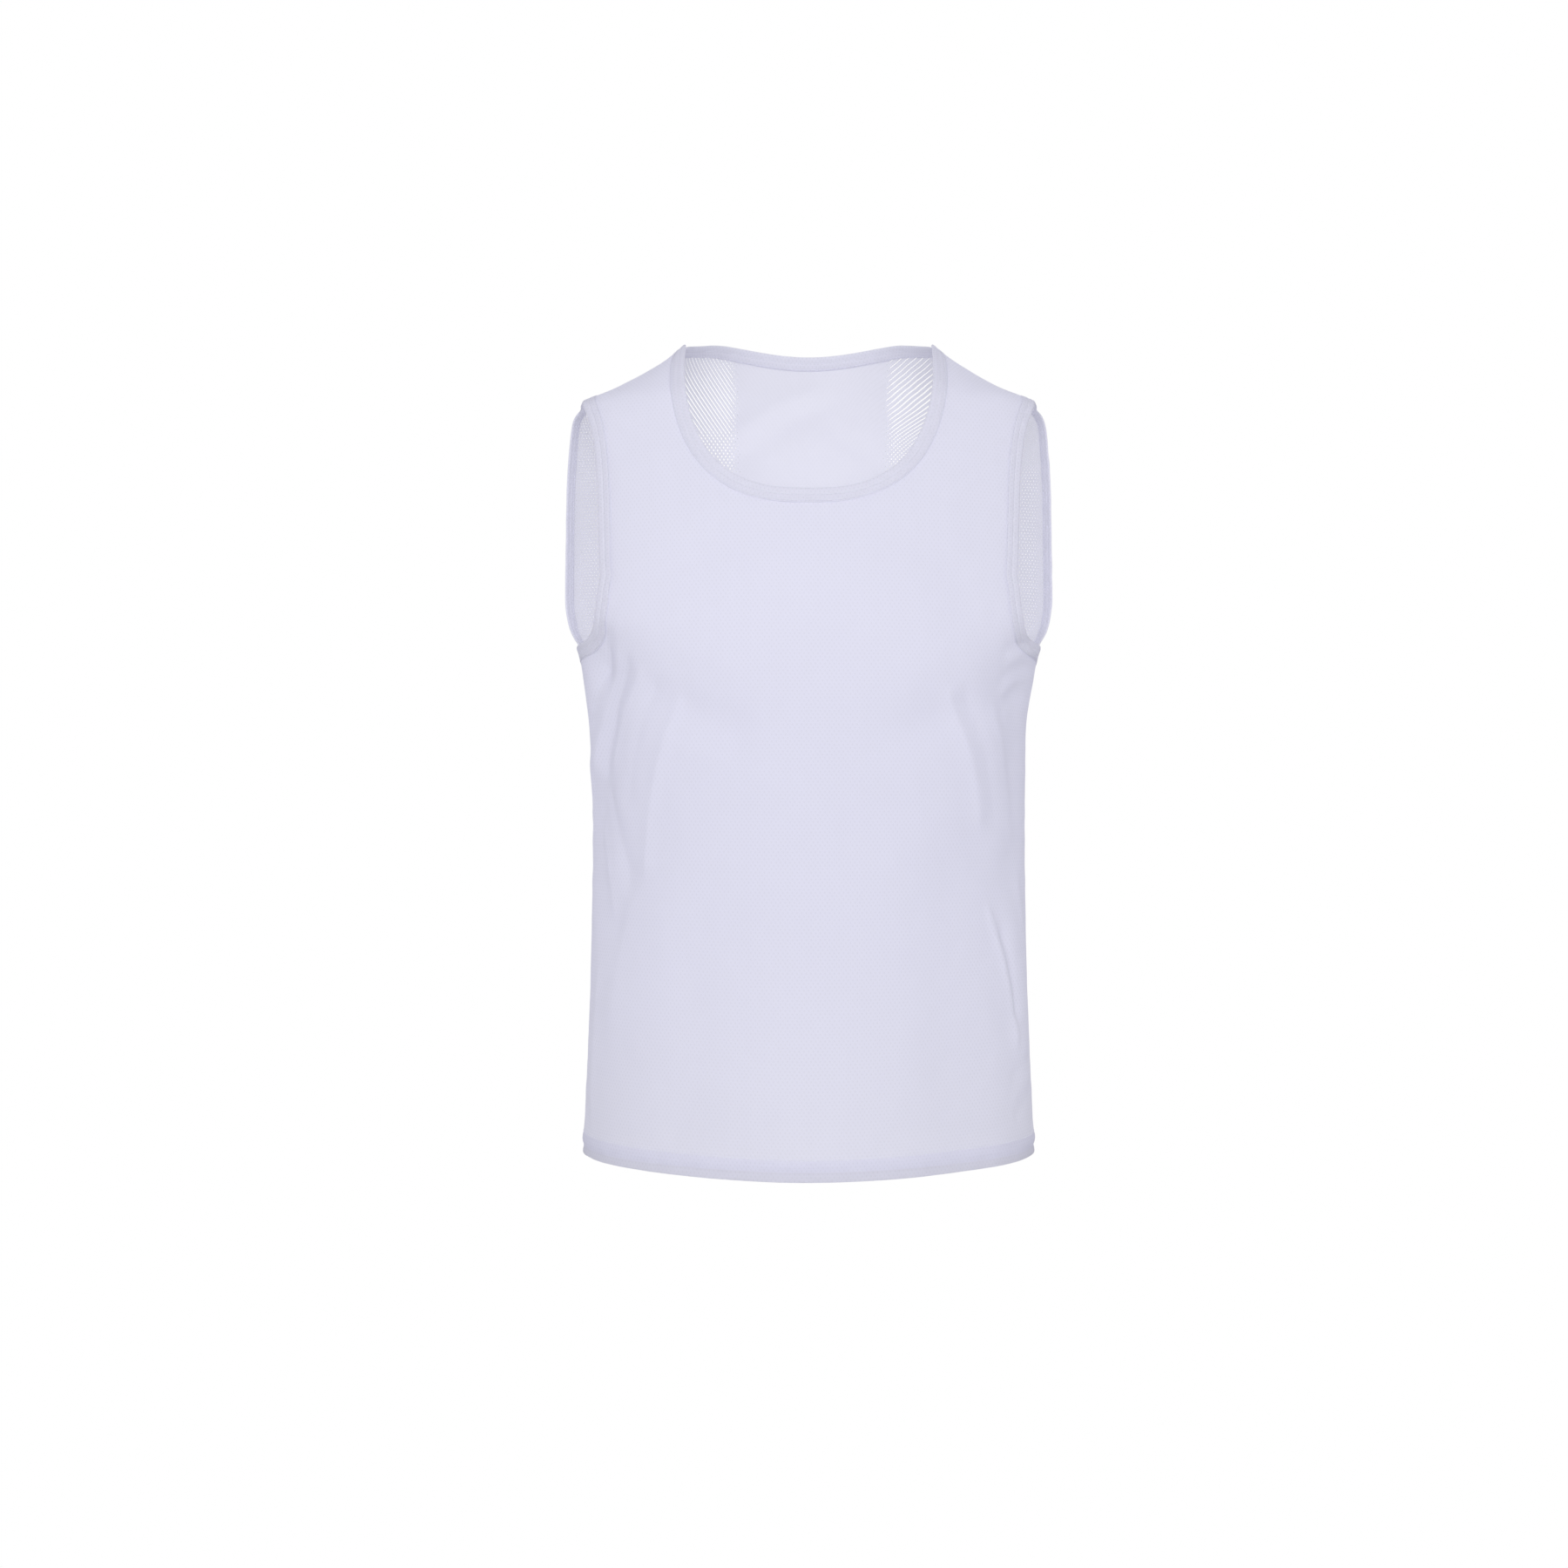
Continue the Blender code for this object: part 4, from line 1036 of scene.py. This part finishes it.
        # holes close by narrowing
        narrowed = math_node(tree, "SUBTRACT", 1.0, math_node(tree, "MULTIPLY", keep, drawn))
        level = math_node(tree, "SUBTRACT", level, math_node(tree, "MULTIPLY", narrowed, 0.72))
    opened = tree.nodes.new("ShaderNodeMapRange")
    opened.interpolation_type = "SMOOTHSTEP"
    opened.inputs["From Min"].default_value, opened.inputs["From Max"].default_value = hole - 0.09, hole + 0.09
    link_(level, opened.inputs["Value"])
    openness = opened.outputs[0]
    alpha = math_node(tree, "SUBTRACT", 1.0, math_node(tree, "MULTIPLY", openness, most_open), clamp=True)
    # colour: the cloth's own with a slow unevenness, and painted shade a touch deeper towards the holes
    slow = tree.nodes.new("ShaderNodeTexNoise")
    slow.inputs["Scale"].default_value = 9.0
    slow.inputs["Detail"].default_value = 3.0
    link_(uv.outputs[0], slow.inputs["Vector"])
    hole_shade_colour = tuple(c * 0.93 for c in colour)
    light = tuple(min(1.0, c * 1.012) for c in colour)
    base = mix_colour(tree, slow.outputs[0], light, tuple(c * 0.985 for c in colour))
    # painted shade in the holes: the colour deepened towards their middles
    rim = math_node(tree, "MULTIPLY", math_node(tree, "MAXIMUM", product, 0.0), hole_shade_strength, clamp=True)
    base = mix_colour(tree, rim, base, hole_shade_colour)
    # painted shade: below the hem's stitches the colour is the darker hem colour
    base = mix_colour(tree, ramp(tree, v, HEM_CLIMB - 0.0006, HEM_CLIMB + 0.0006), HEM_SHADE_COLOUR, base)
    link_(base, shader.inputs["Base Color"])
    # bump: yarns stand up between the holes, ribbed by their loops
    ribs = math_node(tree, "SINE", math_node(tree, "MULTIPLY", v1, 2 * pi / 0.00064))
    height = math_node(tree, "ADD", math_node(tree, "MULTIPLY", product, -0.5), math_node(tree, "MULTIPLY", ribs, 0.12))
    height = math_node(tree, "ADD", height, math_node(tree, "MULTIPLY", fine.outputs[0], 0.3))
    bump = tree.nodes.new("ShaderNodeBump")
    bump.inputs["Strength"].default_value = 0.07
    bump.inputs["Distance"].default_value = 0.0004
    link_(height, bump.inputs["Height"])
    link_(bump.outputs[0], shader.inputs["Normal"])
    shader.inputs["Roughness"].default_value = 0.82
    shader.inputs["Specular IOR Level"].default_value = 0.22
    shader.inputs["Sheen Weight"].default_value = 0.12
    shader.inputs["Sheen Roughness"].default_value = 0.5
    through = tree.nodes.new("ShaderNodeBsdfTranslucent")
    link_(base, through.inputs["Color"])
    link_(bump.outputs[0], through.inputs["Normal"])
    body = tree.nodes.new("ShaderNodeMixShader")
    body.inputs[0].default_value = THROUGH
    link_(shader.outputs[0], body.inputs[1])
    link_(through.outputs[0], body.inputs[2])
    clear = tree.nodes.new("ShaderNodeBsdfTransparent")
    whole = tree.nodes.new("ShaderNodeMixShader")
    link_(alpha, whole.inputs[0])
    link_(clear.outputs[0], whole.inputs[1])
    link_(body.outputs[0], whole.inputs[2])
    out = tree.nodes["Material Output"]
    link_(whole.outputs[0], out.inputs["Surface"])
    return material


CLOSED_MIDDLE, CLOSED_HALF, CLOSED_FOOT = 0.0025, 0.0675, 0.566   # girth, half width and height above the hem


def band_material(name, colour):
    """The same knit folded double: close, fine ribs across the band and a soft sheen."""
    material, tree, shader = nodes_of(name)
    link_ = tree.links.new
    uv = tree.nodes.new("ShaderNodeUVMap")
    uv.uv_map = "cloth"
    split = tree.nodes.new("ShaderNodeSeparateXYZ")
    link_(uv.outputs[0], split.inputs[0])
    u, v = split.outputs[0], split.outputs[1]
    product = lattice(tree, u, v)
    fine = tree.nodes.new("ShaderNodeTexNoise")
    fine.inputs["Scale"].default_value = 2200.0
    fine.inputs["Detail"].default_value = 3.0
    link_(uv.outputs[0], fine.inputs["Vector"])
    dimple = tree.nodes.new("ShaderNodeMapRange")
    dimple.interpolation_type = "SMOOTHSTEP"
    dimple.inputs["From Min"].default_value, dimple.inputs["From Max"].default_value = 0.30, 0.85
    link_(product, dimple.inputs["Value"])
    slow = tree.nodes.new("ShaderNodeTexNoise")
    slow.inputs["Scale"].default_value = 22.0
    link_(uv.outputs[0], slow.inputs["Vector"])
    base = mix_colour(tree, slow.outputs[0], tuple(min(1.0, c * 1.015) for c in colour), tuple(c * 0.975 for c in colour))
    # painted shade: the colour darker in the dimples
    base = mix_colour(tree, math_node(tree, "MULTIPLY", dimple.outputs[0], 0.55), base, tuple(c * 0.90 for c in colour))
    link_(base, shader.inputs["Base Color"])
    height = math_node(tree, "SUBTRACT", math_node(tree, "MULTIPLY", fine.outputs[0], 0.35), dimple.outputs[0])
    bump = tree.nodes.new("ShaderNodeBump")
    bump.inputs["Strength"].default_value = 0.25
    bump.inputs["Distance"].default_value = 0.0003
    link_(height, bump.inputs["Height"])
    link_(bump.outputs[0], shader.inputs["Normal"])
    shader.inputs["Roughness"].default_value = 0.80
    shader.inputs["Specular IOR Level"].default_value = 0.22
    shader.inputs["Sheen Weight"].default_value = 0.12
    shader.inputs["Sheen Roughness"].default_value = 0.5
    through = tree.nodes.new("ShaderNodeBsdfTranslucent")
    link_(base, through.inputs["Color"])
    body = tree.nodes.new("ShaderNodeMixShader")
    body.inputs[0].default_value = BAND_THROUGH
    link_(shader.outputs[0], body.inputs[1])
    link_(through.outputs[0], body.inputs[2])
    link_(body.outputs[0], tree.nodes["Material Output"].inputs["Surface"])
    return material


def thread_material(name, colour):
    material, tree, shader = nodes_of(name)
    place = tree.nodes.new("ShaderNodeTexCoord")
    twist = tree.nodes.new("ShaderNodeTexNoise")
    twist.inputs["Scale"].default_value = 1500.0
    tree.links.new(place.outputs["Object"], twist.inputs["Vector"])
    base = mix_colour(tree, twist.outputs[0], tuple(min(1.0, c * 1.04) for c in colour), tuple(c * 0.94 for c in colour))
    tree.links.new(base, shader.inputs["Base Color"])
    shader.inputs["Roughness"].default_value = 0.55
    shader.inputs["Specular IOR Level"].default_value = 0.35
    return material


# ---------------------------------------------------------------- the pieces

front = panel("front_cloth", -1)
back = panel("back_cloth", 1)
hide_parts("front_panel")
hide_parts("back_panel")

neck_path = neck_walk(0.006, 0.0022)
arm_path = {side: arm_walk(0.006, 0.0022, side) for side in (-1, 1)}
neck_band = band("neck_binding", NECK, neck_path)
arm_band = {
    -1: band("armhole_binding_left", ARM, arm_path[-1]),
    1: band("armhole_binding_right", ARM, arm_path[1]),
}
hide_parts("neck_band")
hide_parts("armhole_band_left")
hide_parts("armhole_band_right")

neck_threads = band_stitches("neck_stitches", NECK, neck_path)
arm_threads = {
    -1: band_stitches("armhole_stitches_left", ARM, arm_path[-1]),
    1: band_stitches("armhole_stitches_right", ARM, arm_path[1]),
}

hem_runs = []
for rise in (HEM_CLIMB,):
    p, n = hem_line(rise, 0.0)
    hem_runs.append(stitch_line(p, n, 0.00005, 0.0028, 0.0006, True))
    hem_runs.append(stitch_line(p, -n, PLY + 0.00005, 0.0028, 0.0006, True))
hem_threads = stitches("hem_stitches", hem_runs)

# ---------------------------------------------------------------- materials on the pieces

front_knit = cloth_material("mesh_knit_front", CLOTH_COLOUR, 0.55, 0.05, 0.08, False)
back_knit = cloth_material("mesh_knit_back", CLOTH_COLOUR, 0.50, 0.92, 0.3, True)
binding_knit = band_material("band_knit_double", BAND_COLOUR)
thread = thread_material("sewing_thread", (0.80, 0.80, 0.89))

for piece, material, slot in (
    (front, front_knit, "mesh_knit"),
    (back, back_knit, "mesh_knit"),
    (neck_band, binding_knit, "band_knit"),
    (arm_band[-1], binding_knit, "band_knit"),
    (arm_band[1], binding_knit, "band_knit"),
    (neck_threads, thread, "band_knit"),
    (arm_threads[-1], thread, "band_knit"),
    (arm_threads[1], thread, "band_knit"),
    (hem_threads, thread, "mesh_knit"),
):
    piece.data.materials.append(material)

# ---------------------------------------------------------------- stage, light, camera

scene = bpy.context.scene
scene.view_settings.view_transform = "Standard"
scene.view_settings.look = "None"

floor_mesh = bpy.data.meshes.new("floor")
R = 12.0
floor_mesh.from_pydata([(-R, -R, -1.45), (R, -R, -1.45), (R, R, -1.45), (-R, R, -1.45)], [], [(0, 1, 2, 3)])
floor = bpy.data.objects.new("floor", floor_mesh)
scene.collection.objects.link(floor)
floor_material = bpy.data.materials.new("white_floor")
floor_material.use_nodes = True
tree = floor_material.node_tree
shader = tree.nodes["Principled BSDF"]
# the floor and the studio's walls photograph as clean white, and light the cloth a little less than that
shader.inputs["Base Color"].default_value = (0.80, 0.80, 0.80, 1)
shader.inputs["Roughness"].default_value = 0.9
white = tree.nodes.new("ShaderNodeEmission")
white.inputs["Strength"].default_value = 1.0
path = tree.nodes.new("ShaderNodeLightPath")
either = tree.nodes.new("ShaderNodeMixShader")
tree.links.new(path.outputs["Is Camera Ray"], either.inputs[0])
tree.links.new(shader.outputs[0], either.inputs[1])
tree.links.new(white.outputs[0], either.inputs[2])
tree.links.new(either.outputs[0], tree.nodes["Material Output"].inputs["Surface"])
floor_mesh.materials.append(floor_material)

STUDIO = 0.52             # how bright the white surroundings are as light
world = bpy.data.worlds.new("studio")
scene.world = world
world.use_nodes = True
tree = world.node_tree
background = tree.nodes["Background"]
background.inputs["Color"].default_value = (1.0, 1.0, 1.0, 1.0)
path = tree.nodes.new("ShaderNodeLightPath")
level = tree.nodes.new("ShaderNodeMapRange")
level.inputs["To Min"].default_value, level.inputs["To Max"].default_value = STUDIO, 1.0
tree.links.new(path.outputs["Is Camera Ray"], level.inputs["Value"])
tree.links.new(level.outputs[0], background.inputs["Strength"])


def soft_light(name, at, towards, size, watts):
    data = bpy.data.lights.new(name, "AREA")
    data.shape, data.size, data.size_y, data.energy = "RECTANGLE", size[0], size[1], watts
    lamp = bpy.data.objects.new(name, data)
    scene.collection.objects.link(lamp)
    lamp.location = at
    lamp.rotation_euler = (Vector(towards) - Vector(at)).to_track_quat("-Z", "Y").to_euler()
    return lamp


soft_light("key", (-0.1, -2.6, 1.5), (0, 0, -0.30), (1.4, 1.0), 17.0)
soft_light("front", (-0.05, -3.0, 0.0), (0, 0, -0.35), (1.4, 1.4), 37.5)
soft_light("behind", (1.3, 2.5, 1.1), (0, 0, -0.35), (1.0, 1.0), 12.0)
soft_light("rim_left", (-2.2, 1.8, 0.3), (0, 0, -0.30), (1.4, 1.4), 9.5)
soft_light("rim_right", (2.2, 1.6, 0.2), (0, 0, -0.30), (1.4, 1.4), 3.5)

camera_data = bpy.data.cameras.new("camera")
camera_data.sensor_width = 36.0
camera_data.lens = 36.0 * 1.6 / 1.296
camera_data.shift_x = -28.4 / 1800
camera = bpy.data.objects.new("camera", camera_data)
camera.location = (0.0, -1.6, -0.3633)
camera.rotation_euler = (radians(90), 0, 0)
scene.collection.objects.link(camera)
scene.camera = camera
